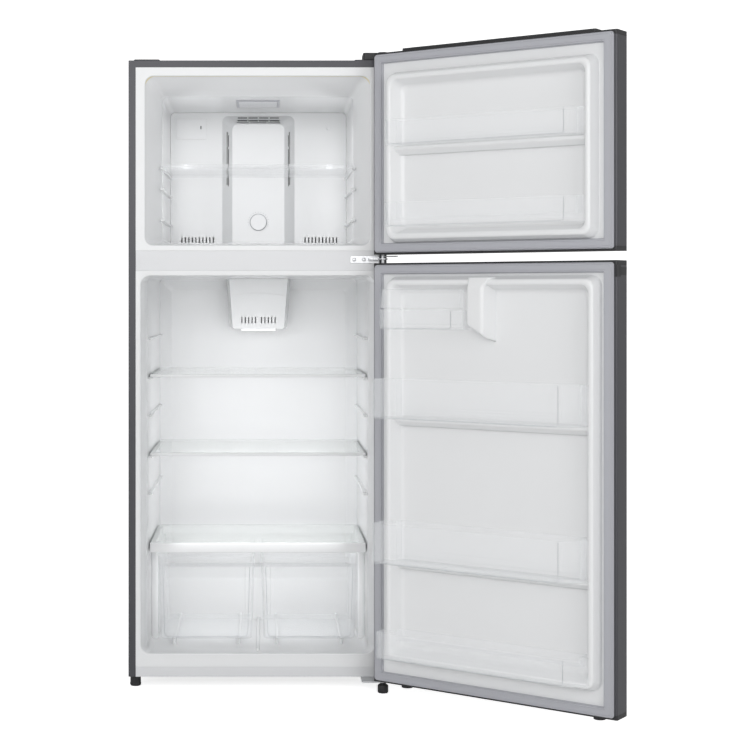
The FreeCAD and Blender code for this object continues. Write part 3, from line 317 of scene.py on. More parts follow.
FINISHES = [
    Finish(Slot.DARK_STEEL, "4b4b4f", 0.36, spread=0.08, metallic=0.3, grain_scale=1500, bump=0.03, dust=0.1),
    Finish(Slot.GALVANISED, "9fa2a4", 0.42, spread=0.2, mottle=0.25, metallic=0.9, grain_scale=160,
           bump=0.05),
    Finish(Slot.FOAM, "ddd3ae", 0.9, mottle=0.15, grain_scale=500, bump=0.5),
    Finish(Slot.WHITE_PLASTIC, "e5e6e7", 0.24, spread=0.05, mottle=0.012, grain_scale=1100, bump=0.02,
           coat=0.15,
           dust=0.03),
    Finish(Slot.WHITE_STEEL, "d8d9db", 0.3, mottle=0.012, grain_scale=1400, bump=0.02, coat=0.2, dust=0.03),
    Finish(Slot.ALUMINIUM, "c4c7c9", 0.35, metallic=1.0, brushed=True, spread=0.15),
    Finish(Slot.DARK_PLASTIC, "2a2a2c", 0.45, grain_scale=1300, bump=0.12, dust=0.2),
    Finish(Slot.FROSTED, "f6f7f7", 0.6, bump=0.05, glow=0.35, dust=0.0),
    Finish(Slot.GLASS, "e6ece9", 0.04, spread=0.02, mottle=0.01, bump=0.0, film=0.04),
    Finish(Slot.CLEAR, "f0f2f4", 0.09, spread=0.04, mottle=0.015, bump=0.01, film=0.05),
    Finish(Slot.ZINC, "c9cacc", 0.26, metallic=1.0, brushed=True, spread=0.16, dust=0.05),
    Finish(Slot.BLACK_STEEL, "141415", 0.38, mottle=0.1, bump=0.1, dust=0.3),
    Finish(Slot.RUBBER, "1b1b1b", 0.75, bump=0.25, grain_scale=700),
    Finish(Slot.GASKET, "adaeb4", 0.52, mottle=0.03, bump=0.08, grain_scale=1200, dust=0.04),
]


# ---- shaping tools ----


def round_path(corners: Sequence[tuple[float, float, float]], steps: int = 5, closed: bool = True) -> Flat:
    """A path with its corners rounded, always with the same count of points for the same corners.

    Args:
        corners: Place and radius of each corner.
        steps: How many pieces each arc has.
        closed: Whether the path returns to its start.

    Returns:
        The points in order.
    """
    points: Flat = []
    count = len(corners)
    for i, (a, b, radius) in enumerate(corners):
        spot = Vector((a, b))
        if not closed and i in (0, count - 1):
            points.append((a, b))
            continue
        back = Vector(corners[i - 1][:2]) - spot
        ahead = Vector(corners[(i + 1) % count][:2]) - spot
        reach_limit = 0.49 * min(back.length, ahead.length)
        back.normalize()
        ahead.normalize()
        angle = max(1e-3, min(math.pi - 1e-3, back.angle(ahead)))
        reach = min(radius / math.tan(angle / 2), reach_limit)
        start, end = spot + back * reach, spot + ahead * reach
        for k in range(steps + 1):
            t = k / steps
            weight = math.sin(angle / 2)
            ring = (1 - t) ** 2 + 2 * t * (1 - t) * weight + t * t
            place = (start * (1 - t) ** 2 + spot * (2 * t * (1 - t) * weight) + end * t * t) / ring
            points.append((place.x, place.y))
    return points


def rounded_box(a0: float, a1: float, b0: float, b1: float, radius: float, steps: int = 6) -> Flat:
    """A rectangle with rounded corners, anticlockwise."""
    r = max(0.2, min(radius, (a1 - a0) / 2 - 0.1, (b1 - b0) / 2 - 0.1))
    return round_path([(a0, b0, r), (a1, b0, r), (a1, b1, r), (a0, b1, r)], steps)


def lerp(a: float, b: float, t: float) -> float:
    """The value a share of the way from a to b."""
    return a + (b - a) * t


def straight(x: float, y: float, z: float) -> Vector:
    """A place in millimetres as it is, in metres."""
    return Vector((x, y, z)) * MM


class Form:
    """A mesh under construction, from loops of points."""

    def __init__(self) -> None:
        """Start empty."""
        self.bm = bmesh.new()

    def skin(self, loops: Sequence[Sequence[Vector]], capped: bool = True, round_again: bool = False) -> Form:
        """Join loops of equal length by quads.

        Args:
            loops: The loops in order.
            capped: Whether both ends are closed by a face.
            round_again: Whether the last loop joins the first.

        Returns:
            The form itself.
        """
        rings = [[self.bm.verts.new(point) for point in loop] for loop in loops]
        pairs = list(zip(rings, rings[1:]))
        if round_again:
            pairs.append((rings[-1], rings[0]))
        for one, two in pairs:
            for i in range(len(one)):
                j = (i + 1) % len(one)
                self.bm.faces.new((one[i], one[j], two[j], two[i]))
        if capped and not round_again:
            self.bm.faces.new(rings[0][::-1])
            self.bm.faces.new(rings[-1])
        return self

    def block(self, low: Sequence[float], high: Sequence[float], soft: float, at: Mapping = straight,
              segments: int = 3) -> Form:
        """A block between two corners with softened edges.

        Args:
            low: Its lowest corner, in the mapping's own coordinates.
            high: Its highest corner.
            soft: The width of the rounding, in millimetres.
            at: What turns those coordinates into a place.
            segments: How many pieces the rounding has.

        Returns:
            The form itself.
        """
        part = bmesh.new()
        bmesh.ops.create_cube(part, size=1.0)
        for v in part.verts:
            own = [lerp(low[k], high[k], v.co[k] + 0.5) for k in range(3)]
            v.co = at(*own)
        if part.calc_volume(signed=True) < 0:
            bmesh.ops.reverse_faces(part, faces=part.faces)
        least = min(abs(high[k] - low[k]) for k in range(3))
        width = min(soft, least * 0.45) * MM
        bmesh.ops.bevel(part, geom=list(part.edges), offset=width, segments=segments, profile=0.5,
                        affect="EDGES")
        mesh = bpy.data.meshes.new("part")
        part.to_mesh(mesh)
        part.free()
        self.bm.from_mesh(mesh)
        bpy.data.meshes.remove(mesh)
        return self

    def both_sides(self, near: float, far: float, depths: Sequence[float], heights: Sequence[float],
                   soft: float) -> Form:
        """A block and its mirror image across the cabinet's middle.

        Args:
            near: Its side towards the middle.
            far: Its other side.
            depths: Its front and back, from the cabinet's front.
            heights: Its foot and top.
            soft: The width of the rounding, in millimetres.

        Returns:
            The form itself.
        """
        for way in (-1, 1):
            low, high = sorted((way * near, way * far))
            self.block((low, FRONT + depths[0], heights[0]), (high, FRONT + depths[1], heights[1]), soft)
        return self

    def bead(self, path: Loop, across: Vector, half: float) -> Form:
        """A fine square bead along an open path that lies in one plane.

        Args:
            path: Its points, in metres.
            across: The plane's normal.
            half: Half of its width, in millimetres.

        Returns:
            The form itself.
        """
        loops = []
        for i, point in enumerate(path):
            way = (path[min(i + 1, len(path) - 1)] - path[max(i - 1, 0)]).normalized()
            side = way.cross(across).normalized() * half * MM
            lift = across.normalized() * half * MM
            loops.append([point + side + lift, point + side - lift, point - side - lift, point - side + lift])
        return self.skin(loops)

    def done(self, name: str, crease: float = 38.0) -> bpy.types.Object:
        """Close the form and make its object.

        Args:
            name: The piece's name.
            crease: Edges sharper than this many degrees stay sharp.

        Returns:
            The new object, at the origin.
        """
        bmesh.ops.remove_doubles(self.bm, verts=self.bm.verts, dist=1e-6)
        bmesh.ops.recalc_face_normals(self.bm, faces=self.bm.faces)
        if self.bm.calc_volume(signed=True) < 0:
            bmesh.ops.reverse_faces(self.bm, faces=self.bm.faces)
        mesh = bpy.data.meshes.new(name)
        self.bm.to_mesh(mesh)
        self.bm.free()
        for face in mesh.polygons:
            face.use_smooth = True
        mesh.set_sharp_from_angle(angle=math.radians(crease))
        thing = bpy.data.objects.new(name, mesh)
        bpy.context.scene.collection.objects.link(thing)
        even = thing.modifiers.new("Even", "WEIGHTED_NORMAL")
        even.keep_sharp = True
        graph = bpy.context.evaluated_depsgraph_get()
        thing.data = bpy.data.meshes.new_from_object(thing.evaluated_get(graph), depsgraph=graph)
        thing.modifiers.clear()
        bpy.data.meshes.remove(mesh)
        thing.data.name = name
        return thing


class LayTree:
    """A Geometry Nodes tree that copies the piece it is given, with its sockets' identifiers by name."""

    def __init__(self, name: str, inputs: Sequence[tuple[str, str]]) -> None:
        """Make the tree with its sockets.

        Args:
            name: The tree's name.
            inputs: Name and socket type of each input after the piece itself.
        """
        self.tree = bpy.data.node_groups.new(name, "GeometryNodeTree")
        new = self.tree.interface.new_socket
        new("Geometry", in_out="INPUT", socket_type="NodeSocketGeometry")
        self.sockets = {label: new(label, in_out="INPUT", socket_type=kind).identifier
                        for label, kind in inputs}
        new("Geometry", in_out="OUTPUT", socket_type="NodeSocketGeometry")
        self.net = Net(self.tree)
        self.given = self.net.add("NodeGroupInput").outputs

    def real(self, geometry: bpy.types.NodeSocket) -> bpy.types.NodeSocket:
        """Copies turned into plain geometry."""
        return self.net.add("GeometryNodeRealizeInstances", {0: geometry}).outputs[0]

    def paint(self, geometry: bpy.types.NodeSocket) -> None:
        """Put the finish on the geometry and send it out."""
        painted = self.net.add("GeometryNodeSetMaterial",
                               {"Geometry": geometry, "Material": self.given["Finish"]})
        self.net.add("NodeGroupOutput", {0: painted.outputs[0]})


class RowTree(LayTree):
    """Copies in rows and columns."""

    def __init__(self) -> None:
        """Build the tree."""
        super().__init__("RowsOfPieces", (
            ("Start", "NodeSocketVector"), ("Step", "NodeSocketVector"), ("Count", "NodeSocketInt"),
            ("Row Step", "NodeSocketVector"), ("Rows", "NodeSocketInt"), ("Finish", "NodeSocketMaterial")))
        net, given = self.net, self.given
        columns = net.add("GeometryNodeMeshLine", {"Count": given["Count"], "Start Location": given["Start"],
                                                   "Offset": given["Step"]})
        rows = net.add("GeometryNodeMeshLine", {"Count": given["Rows"], "Offset": given["Row Step"]})
        grid = net.add("GeometryNodeInstanceOnPoints",
                       {"Points": rows.outputs[0], "Instance": columns.outputs[0]})
        laid = net.add("GeometryNodeInstanceOnPoints", {"Points": self.real(grid.outputs[0]),
                                                        "Instance": given["Geometry"]})
        self.paint(self.real(laid.outputs[0]))


class CircleTree(LayTree):
    """Copies round a circle."""

    def __init__(self) -> None:
        """Build the tree."""
        super().__init__("CircleOfPieces", (
            ("Centre", "NodeSocketVector"), ("Tilt", "NodeSocketVector"), ("Radius", "NodeSocketFloat"),
            ("Count", "NodeSocketInt"), ("Sweep", "NodeSocketFloat"), ("From", "NodeSocketFloat"),
            ("Finish", "NodeSocketMaterial")))
        net, given = self.net, self.given
        line = net.add("GeometryNodeMeshLine", {"Count": given["Count"]})
        share = net.sum("DIVIDE", net.add("GeometryNodeInputIndex").outputs[0], given["Count"])
        angle = net.sum("MULTIPLY_ADD", share, given["Sweep"], given["From"])
        sides = [net.sum("MULTIPLY", net.sum(name, angle), given["Radius"]) for name in ("COSINE", "SINE")]
        spot = net.add("ShaderNodeCombineXYZ", dict(enumerate(sides)))
        moved = net.add("GeometryNodeSetPosition", {"Geometry": line.outputs[0], "Position": spot.outputs[0]})
        facing = net.add("ShaderNodeCombineXYZ", {2: angle})
        laid = net.add("GeometryNodeInstanceOnPoints",
                       {"Points": moved.outputs[0], "Instance": given["Geometry"],
                                                        "Rotation": facing.outputs[0]})
        tilted = net.add("GeometryNodeTransform", {"Geometry": self.real(laid.outputs[0]),
                                                   "Translation": given["Centre"], "Rotation": given["Tilt"]})
        self.paint(self.real(tilted.outputs[0]))


@dataclass
class Workshop:
    """The frame and everything that the sub-assemblies share."""

    SHARP: ClassVar[float] = 30.0

    frame: dict
    groups: ShaderGroups = field(default_factory=ShaderGroups)
    rows: RowTree = field(default_factory=RowTree)
    circle: CircleTree = field(default_factory=CircleTree)
    finishes: dict[Slot, bpy.types.Material] = field(init=False)
    clear_edge: bpy.types.Material = field(init=False)
    node_slot: dict[str, Slot] = field(init=False)

    def __post_init__(self) -> None:
        """Build each finish and put it on every CAD node of its slot."""
        self.finishes = {finish.slot: finish.build(self.groups) for finish in FINISHES}
        # Opaque grey for the fine beads round the clear fronts: painted shade of the dark line that a clear
        # moulded edge shows.
        self.clear_edge = Finish(Slot.CLEAR, "a4a8ac", 0.2, mottle=0.03).build(self.groups, "clear_edge")
        self.node_slot = {row["node"]: Slot(row["material_slot"]) for row in self.frame["record"]["subparts"]}
        for name, node in self.frame["nodes"].items():
            node.data.materials.clear()
            node.data.materials.append(self.finishes[self.node_slot[name]])

    def body_of(self, node: str) -> str:
        """The body that a CAD node rides on."""
        return str(self.frame["nodes"][node]["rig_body"])

    def settle(self, thing: bpy.types.Object, body: str, slot: Slot, *nodes: str,
               material: Optional[bpy.types.Material] = None) -> bpy.types.Object:
        """Dress a piece, let it ride and hide the CAD nodes that it stands for.

        Args:
            thing: The piece.
            body: The CAD body that it rides on.
            slot: The record's slot that its finish comes from.
            nodes: The CAD nodes that it replaces.
            material: Another material than the slot's own.

        Returns:
            The piece.
        """
        thing.data.materials.clear()
        thing.data.materials.append(material or self.finishes[slot])
        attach(thing, body)
        if nodes:
            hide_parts(*nodes)
        LOG.info("%s rides on %s", thing.name, body)
        return thing

    def soften(self, node: str, width: float, segments: int = 2, merge: bool = True) -> bpy.types.Object:
        """A copy of a CAD node with its edges rounded, which replaces it.

        Args:
            node: The CAD node.
            width: The rounding, in millimetres.
            segments: How many pieces the rounding has.
            merge: Whether flat faces are merged first, which a frame with a window doesn't bear.

        Returns:
            The new piece.
        """
        form = Form()
        form.bm.from_mesh(self.frame["nodes"][node].data)
        bmesh.ops.remove_doubles(form.bm, verts=form.bm.verts, dist=2e-6)
        if merge:
            bmesh.ops.dissolve_limit(form.bm, angle_limit=math.radians(1.0), verts=form.bm.verts,
                                     edges=form.bm.edges)
        edges = [e for e in form.bm.edges
                 if len(e.link_faces) == 2 and e.calc_face_angle(0.0) > math.radians(self.SHARP)]
        bmesh.ops.bevel(form.bm, geom=edges, offset=width * MM, segments=segments, profile=0.5,
                        affect="EDGES",
                        clamp_overlap=True)
        thing = form.done(f"{node}_shaped")
        return self.settle(thing, self.body_of(node), self.node_slot[node], node)

    def lay_rows(self, pattern: bpy.types.Object, slot: Slot, body: str, start: Vector, step: Vector,
                 count: int,
                 row_step: Vector = Vector((0, 0, 0)), rows: int = 1) -> bpy.types.Object:
        """Lay a small piece in rows with Geometry Nodes.

        Args:
            pattern: The piece to repeat, around the origin.
            slot: The finish.
            body: The body that the result rides on.
            start: The first copy's place, in metres.
            step: From one copy to the next.
            count: How many copies there are in a row.
            row_step: From one row to the next.
            rows: How many rows there are.

        Returns:
            The plain mesh that holds all copies.
        """
        values = {"Start": start, "Step": step, "Count": count, "Row Step": row_step, "Rows": rows,
                  "Finish": self.finishes[slot]}
        return self.settle(self.convert(pattern, self.rows, values), body, slot)

    def lay_circle(self, pattern: bpy.types.Object, slot: Slot, body: str, centre: Vector, tilt: Vector,
                   radius: float,
                   count: int, sweep: float = math.tau, start: float = 0.0) -> bpy.types.Object:
        """Lay a small piece round a circle with Geometry Nodes.

        Args:
            pattern: The piece to repeat, around the origin.
            slot: The finish.
            body: The body that the result rides on.
            centre: The middle of the circle, in metres.
            tilt: How the circle is turned from lying flat.
            radius: Its radius.
            count: How many copies there are.
            sweep: The angle that they share.
            start: The first copy's angle.

        Returns:
            The plain mesh that holds all copies.
        """
        values = {"Centre": centre, "Tilt": tilt, "Radius": radius, "Count": count, "Sweep": sweep,
                  "From": start,
                  "Finish": self.finishes[slot]}
        return self.settle(self.convert(pattern, self.circle, values), body, slot)

    @staticmethod
    def convert(pattern: bpy.types.Object, tree: LayTree, values: dict[str, object]) -> bpy.types.Object:
        """Run a tree on a piece and keep the result as its plain mesh.

        Args:
            pattern: The piece.
            tree: The tree.
            values: The tree's inputs by name.

        Returns:
            The piece with its new mesh.
        """
        modifier = pattern.modifiers.new("Laid", "NODES")
        modifier.node_group = tree.tree
        for label, value in values.items():
            modifier[tree.sockets[label]] = value
        graph = bpy.context.evaluated_depsgraph_get()
        mesh = bpy.data.meshes.new_from_object(pattern.evaluated_get(graph), depsgraph=graph)
        pattern.modifiers.clear()
        pattern.data = mesh
        return pattern


# ---- cabinet ----


@dataclass(frozen=True)
class Section:
    """One cross section of a compartment."""

    depth: float
    half: float
    low: float
    high: float
    radius: float

    def loop(self, grow: float = 0.0, shift: float = 0.0) -> Loop:
        """The section's outline, made larger and moved back."""
        flat = rounded_box(-self.half - grow, self.half + grow, self.low - grow, self.high + grow,
                           self.radius + grow, 7)
        return [straight(a, FRONT + self.depth + shift, b) for a, b in flat]


def blend_sections(one: Section, two: Section, count: int) -> list[Section]:
    """Sections that lead softly from one to another.

    Args:
        one: The first section.
        two: The last section.
        count: How many steps there are.

    Returns:
        The sections, both ends among them.
    """
    result = []
    for i in range(count + 1):
        t = i / count
        s = t + BULGE * math.sin(t * math.pi)
        result.append(Section(lerp(one.depth, two.depth, t), lerp(one.half, two.half, s),
                              lerp(one.low, two.low, s),
                              lerp(one.high, two.high, s), lerp(one.radius, two.radius, t)))
    return result


@dataclass
class Cabinet:
    """Steel case, both inner liners and what is fixed in them."""

    shop: Workshop
    flange_half: float = 330.4
    lip: float = 3.0
    wall: float = 2.0
    rib_reach: float = 8.0
    rim_steps: int = 4
    knob_height: float = 1286.0
    duct_face: float = 469.9

    def build(self) -> None:
        """Build every piece of the cabinet."""
        self.liner("freezer_liner", 1189.0, 1685.0, [
            *blend_sections(Section(5, 304.4, 1203.5, 1661, 22), Section(100, 265, 1212, 1618, 14), 12),
            Section(104, 265, 1212, 1618, 14), Section(590, 265, 1212, 1618, 14)])
        self.liner("fridge_liner", 61.0, 1133.0, [
            *blend_sections(Section(5, 316.3, 96, 1120, 25), Section(60, 303, 94, 1117, 13), 10),
            Section(64, 303, 94, 1117, 13), Section(552, 300, 94, 1117, 13),
            Section(558, 298.5, 95.5, 1115.5, 13),
            Section(586, 269, 125, 1086, 13), Section(590, 265, 129, 1082, 13)])
        self.floor_step()
        self.supports()
        for node, width in (("cabinet_wrapper", 0.8), ("mullion_rail", 0.6), ("lower_front_rail", 0.6),
                            ("freezer_rear_cover", 1.4), ("sensor_cover", 1.0), ("top_hinge_cover", 1.6),
                            ("top_left_cap", 1.2), ("top_hinge", 0.6),
                            ("middle_hinge", 0.6), ("bottom_hinge", 0.6), ("hinge_screws", 0.3),
                            ("rear_compartment_cover", 0.4), ("power_inlet", 0.5),
                            ("crisper_cover_glass", 0.5),
                            ("lamp_lens", 1.0), ("drip_tray", 0.8)):
            self.shop.soften(node, width)
        self.shop.soften("crisper_cover_trim", 1.2, merge=False)
        self.shop.soften("air_outlet_housing", 2.6, 3)
        self.shop.soften("freezer_duct_cover", 2.4, 3)
        self.small_parts()

    def liner(self, node: str, low: float, high: float, inner: list[Section]) -> None:
        """One compartment liner with its front flange, as a closed thin shell.

        Args:
            node: The CAD node that it replaces.
            low: The flange's lower edge.
            high: The flange's upper edge.
            inner: The sections from the mouth to the back wall.
        """
        mouth = inner[0]
        rim = []
        for k in range(self.rim_steps + 1):
            angle = k / self.rim_steps * math.pi / 2
            grow = self.lip * (1 - math.sin(angle))
            rim.append(Section(mouth.depth - mouth.depth * math.cos(angle), mouth.half, mouth.low, mouth.high,
                               mouth.radius).loop(grow))
        edge = Section(0, self.flange_half, low, high, 0.6)
        back = [section.loop(self.wall) for section in inner]
        back[-1] = inner[-1].loop(self.wall, self.wall)
        skin = Section(self.wall, mouth.half, mouth.low, mouth.high, mouth.radius).loop(self.lip + 1)
        loops = [s.loop() for s in inner[::-1]][:-1] + rim[::-1]
        loops += [edge.loop(), edge.loop(0.0, self.wall), skin, *back[1:]]
        thing = Form().skin(loops).done(f"{node}_shaped", 50.0)
        self.shop.settle(thing, "cabinet", Slot.WHITE_PLASTIC, node)

    def floor_step(self) -> None:
        """The raised step over the machine compartment, the ledges beside the drawers and their runners."""
        form = Form()
        step = [(480, 90, 0.2), (594, 90, 0.2), (594, 244, 0.2), (522, 244, 12), (492, 214, 12)]
        side = round_path(step, 5)
        outer = [[straight(x, FRONT + d, z) for d, z in side] for x in (-300.5, 300.5)]
        form.skin(outer)
        form.both_sides(283.0, 304.0, (200, 592), (90, 354), 7)
        for away in (49.0, 229.0):
            form.both_sides(away, away + 8, (130, 486), (88, 111.7), 3)
        form.block((-5, FRONT + 40, 88), (5, FRONT + 484, 100), 4)
        self.shop.settle(form.done("floor_step"), "cabinet", Slot.WHITE_PLASTIC)

    def supports(self) -> None:
        """Shelf supports moulded in the side walls."""
        form = Form()
        for half, tops, front, back in ((265.0, (1419.7, 1361.7, 1276.7), 70, 455),
                                        (300.0, (949.7, 839.7, 736.7, 621.7, 519.7), 95, 540)):
            for top in tops:
                form.both_sides(half - self.rib_reach, half + 5, (front, back), (top - 6, top), 2.4)
        self.shop.settle(form.done("wall_supports"), "cabinet", Slot.WHITE_PLASTIC)

    def small_parts(self) -> None:
        """Small fittings of the freezer and the rails: clip, plugs, louver on a grey base painted as the
        shade between its blades, dark bars painted as the shade in the duct's slits, knob scale, a grey ring
        painted as the shade of the knob's groove, edge lines.
        """
        shop = self.shop
        clip = Form().block((-174.6, FRONT + 494, 1568), (-172.2, FRONT + 497.4, 1578), 0.6)
        shop.settle(clip.done("sensor_clip"), "cabinet", Slot.DARK_PLASTIC)
        plug = turned_form([(6.5, 0), (6.5, -1.2), (5.6, -2.0)]).done("cover_screw_plug")
        shop.lay_rows(plug, Slot.WHITE_PLASTIC, "cabinet", straight(-211, FRONT + 500, 1572),
                      straight(422, 0, 0), 2)
        tick = Form().block((-0.5, -0.45, -1.6), (0.5, 0.0, 1.6), 0.2).done("knob_scale")
        turn_mesh(tick, Matrix.Rotation(math.radians(90), 4, "X") @ Matrix.Rotation(math.radians(90), 4, "Y"))
        knob, upright = straight(0, FRONT + self.duct_face,
                                 self.knob_height), Vector((math.radians(90), 0, 0))
        shop.lay_circle(tick, Slot.GASKET, "cabinet", knob, upright, 30.5 * MM, 15, math.radians(224),
                        math.radians(-14))
        plug = turned_form([(8.5, 0), (8.5, -0.5), (7.6, -0.9)]).done("mullion_plugs")
        shop.lay_rows(plug, Slot.WHITE_STEEL, "cabinet", straight(-313, FRONT, 1161),
                      straight(38, 0, 0), 2)
        lines = Form()
        for z in (1134.6, 1187.4):
            lines.block((-330, FRONT - 0.35, z - 0.6), (330, FRONT + 0.5, z + 0.6), 0.25)
        shop.settle(lines.done("mullion_edge_lines"), "cabinet", Slot.WHITE_STEEL)
        arc = Form()
        path = [(x, 1074 - 9 * (x / 83) ** 2) for x in range(-83, 84, 6)]
        for (x0, z0), (x1, z1) in zip(path, path[1:]):
            middle = (z0 + z1) / 2
            arc.block((x0 - 0.3, FRONT + 479.2, middle - 0.7), (x1 + 0.3, FRONT + 480.5, middle + 0.7), 0.3)
        shop.settle(arc.done("outlet_line"), "cabinet", Slot.WHITE_PLASTIC)
        # Grey base under the white blades: painted shade of the vent openings between them.
        louver = Form().block((-61, FRONT + 185, 1614.8), (61, FRONT + 345, 1619), 1.6)
        shop.settle(louver.done("ceiling_louver"), "cabinet", Slot.GASKET)
        blade = Form().block((-54, -4.0, -1.0), (54, 4.0, 1.0), 0.8).done("ceiling_louver_blades")
        shop.lay_rows(blade, Slot.WHITE_PLASTIC, "cabinet", straight(0, FRONT + 209, 1614.4),
                      straight(0, 28, 0), 5)
        # Dark bars laid in the duct's top slits: painted shade of the dark space behind the slots.
        slit = Form().block((-14, -0.9, -1.7), (14, 0.9, 1.7), 0.5).done("duct_top_slits")
        shop.lay_rows(slit, Slot.DARK_PLASTIC, "cabinet", straight(-48, FRONT + 492.4, 1601),
                      straight(32, 0, 0), 4, straight(0, -10.7, -10), 2)
        # Dark bars in the slits on the duct's sloped sides: painted shade of the openings.
        dashes = Form()
        for middle, half in ((1531, 17), (1477, 29), (1418, 23)):
            dashes.both_sides(89.2, 90.8, (480.2, 483), (middle - half, middle + half), 0.4)
        shop.settle(dashes.done("duct_side_slits"), "cabinet", Slot.DARK_PLASTIC)
        # Ring of grey dots round the knob: painted shade of the groove that rings it.
        dot = Form().block((-1.0, -1.0, -0.4), (1.0, 1.0, 0.4), 0.3, segments=1).done("knob_groove")
        shop.lay_circle(dot, Slot.GASKET, "cabinet", knob, upright, 24.8 * MM, 72)
        notch = Form().block((-1.0, -1.1, -2.6), (1.2, 1.1, 2.6), 0.6).done("foot_grips")
        low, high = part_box("foot_left")
        middle = (low + high) / 2
        shop.lay_circle(notch, Slot.DARK_PLASTIC, "foot_left", Vector((middle.x, middle.y, low.z + 6 * MM)),
                        Vector((0, 0, 0)), (high.x - low.x) / 2 - 0.6 * MM, 14)


def turned_form(profile: Sequence[tuple[float, float]], steps: int = 28) -> Form:
    """A form turned about an axis that points to the front.

    Args:
        profile: Radius and height of each ring, in millimetres.
        steps: How many pieces the circle has.

    Returns:
        The form, around the origin.
    """
    turns = [k * math.tau / steps for k in range(steps)]
    return Form().skin([[straight(radius * math.cos(t), height, -radius * math.sin(t)) for t in turns]
                        for radius, height in profile])


def turn_mesh(thing: bpy.types.Object, matrix: Matrix) -> None:
    """Turn a mesh about the origin, its object staying in place."""
    thing.data.transform(matrix)
    thing.data.update()


# ---- shelves and drawers ----


@dataclass
class Interior:
    """Shelves, crisper drawers and the knob."""

    shop: Workshop
    drawer_low: float = 112.0
    drawer_high: float = 342.0
    drawer_front: float = 100.0
    drawer_back: float = 455.0
    taper: float = 7.0
    wall: float = 2.5
    edge_inset: float = 0.4
    edge_half: float = 0.45
    edge_ends: float = 4.0
    edge_skin: float = 0.6

    def build(self) -> None:
        """Build the shelves, the drawers and the knob."""
        for node, width in (("upper_shelf_glass", 0.5), ("lower_shelf_glass", 0.5), ("upper_shelf_trim", 1.6),
                            ("lower_shelf_trim", 1.6), ("freezer_shelf", 1.2), ("freezer_knob", 0.9),
                            ("fan_blade", 0.3), ("foot_left", 0.6), ("foot_right", 0.6),
                            ("rear_rollers", 0.5)):
            self.shop.soften(node, width)
        for name, near, far in (("crisper_left", -277.0, -9.0), ("crisper_right", 9.0, 277.0)):
            self.drawer(name, near, far)
        self.glass_edges()

    def glass_edges(self) -> None:
        """Green-grey cut edges of the glass plates, beside their trims."""
        edge = Finish(Slot.GLASS, "7f8a88", 0.2, mottle=0.05).build(self.shop.groups, "glass_edge")
        for node in ("upper_shelf_glass", "lower_shelf_glass", "crisper_cover_glass"):
            low, high = (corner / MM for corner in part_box(node))
            form = Form()
            for x in (low.x + self.edge_inset, high.x - self.edge_inset):
                form.block((x - self.edge_half, low.y + self.edge_ends, low.z + self.edge_skin),
                           (x + self.edge_half, high.y - self.edge_ends, high.z - self.edge_skin), 0.2)
            self.shop.settle(form.done(f"{node}_edges"), self.shop.body_of(node), Slot.GLASS, material=edge)

    def drawer(self, node: str, x0: float, x1: float) -> None:
        """One clear drawer with a rolled rim, ribs beside its front corners and a grey bead round its front,
        painted as the shade of its edge.

        Args:
            node: The CAD node that it replaces.
            x0: Its left side at the top.
            x1: Its right side at the top.
        """
        def ring(z: float, inset: float, radius: float = 16.0) -> Loop:
            """The drawer's outline at one height."""
            lean = self.taper * (self.drawer_high - z) / (self.drawer_high - self.drawer_low)
            step = lean + inset
            flat = rounded_box(x0 + step, x1 - step, FRONT + self.drawer_front + step,
                               FRONT + self.drawer_back - step, radius - inset, 6)
            return [straight(a, b, z) for a, b in flat]

        low, high, wall = self.drawer_low, self.drawer_high, self.wall
        loops = [ring(low, 9), ring(low + 1.2, 4.4), ring(low + 4, 1.4), ring(low + 9, 0.2),
                 ring(high - 14, 0.0),
                 ring(high - 13, 0.0), ring(high - 12, 0.0), ring(high - 0.8, 0.0), ring(high, 0.8),
                 ring(high, wall - 0.6), ring(high - 0.8, wall), ring(low + 11, wall),
                 ring(low + 5, wall + 1.6),
                 ring(low + wall + 1, wall + 5), ring(low + wall, wall + 9)]
        drawer = Form().skin(loops).done(f"{node}_shaped")
        self.shop.settle(drawer, node, Slot.CLEAR, node)
        slope = self.taper / (high - low)
        track = round_path([(x0 + 13, high - 26, 0), (x0 + 12 + self.taper, low + 7, 14),
                            (x1 - 12 - self.taper, low + 7, 14), (x1 - 13, high - 26, 0)], 6, False)
        path = [straight(a, FRONT + self.drawer_front + slope * (high - b) - 0.1, b) for a, b in track]
        # The bead is real, its grey is painted shade of the clear front's edge.
        edge = Form().bead(path, Vector((0, 1, 0)), 0.5).done(f"{node}_front_edge")
        self.shop.settle(edge, node, Slot.CLEAR, material=self.shop.clear_edge)
        rib = Form().block((-1.3, -0.9, -92), (1.3, 1.1, 92), 0.8).done(f"{node}_ribs")
        turn_mesh(rib, Matrix.Rotation(-slope, 4, "X"))
        self.shop.lay_rows(rib, Slot.CLEAR, node,
                           straight(x0 + 26, FRONT + self.drawer_front + 5.6, (low + high) / 2),
                           straight(x1 - x0 - 52, 0, 0), 2)


# ---- doors ----


@dataclass(frozen=True)
class Bin:
    """One door bin, measured from the door's hinge side and inner face, in millimetres."""

    node: str
    low: float
    high: float
    reach: float
    near: float
    far: float
    near_taper: float
    far_taper: float
    tuck_far: float
    tuck_low: float


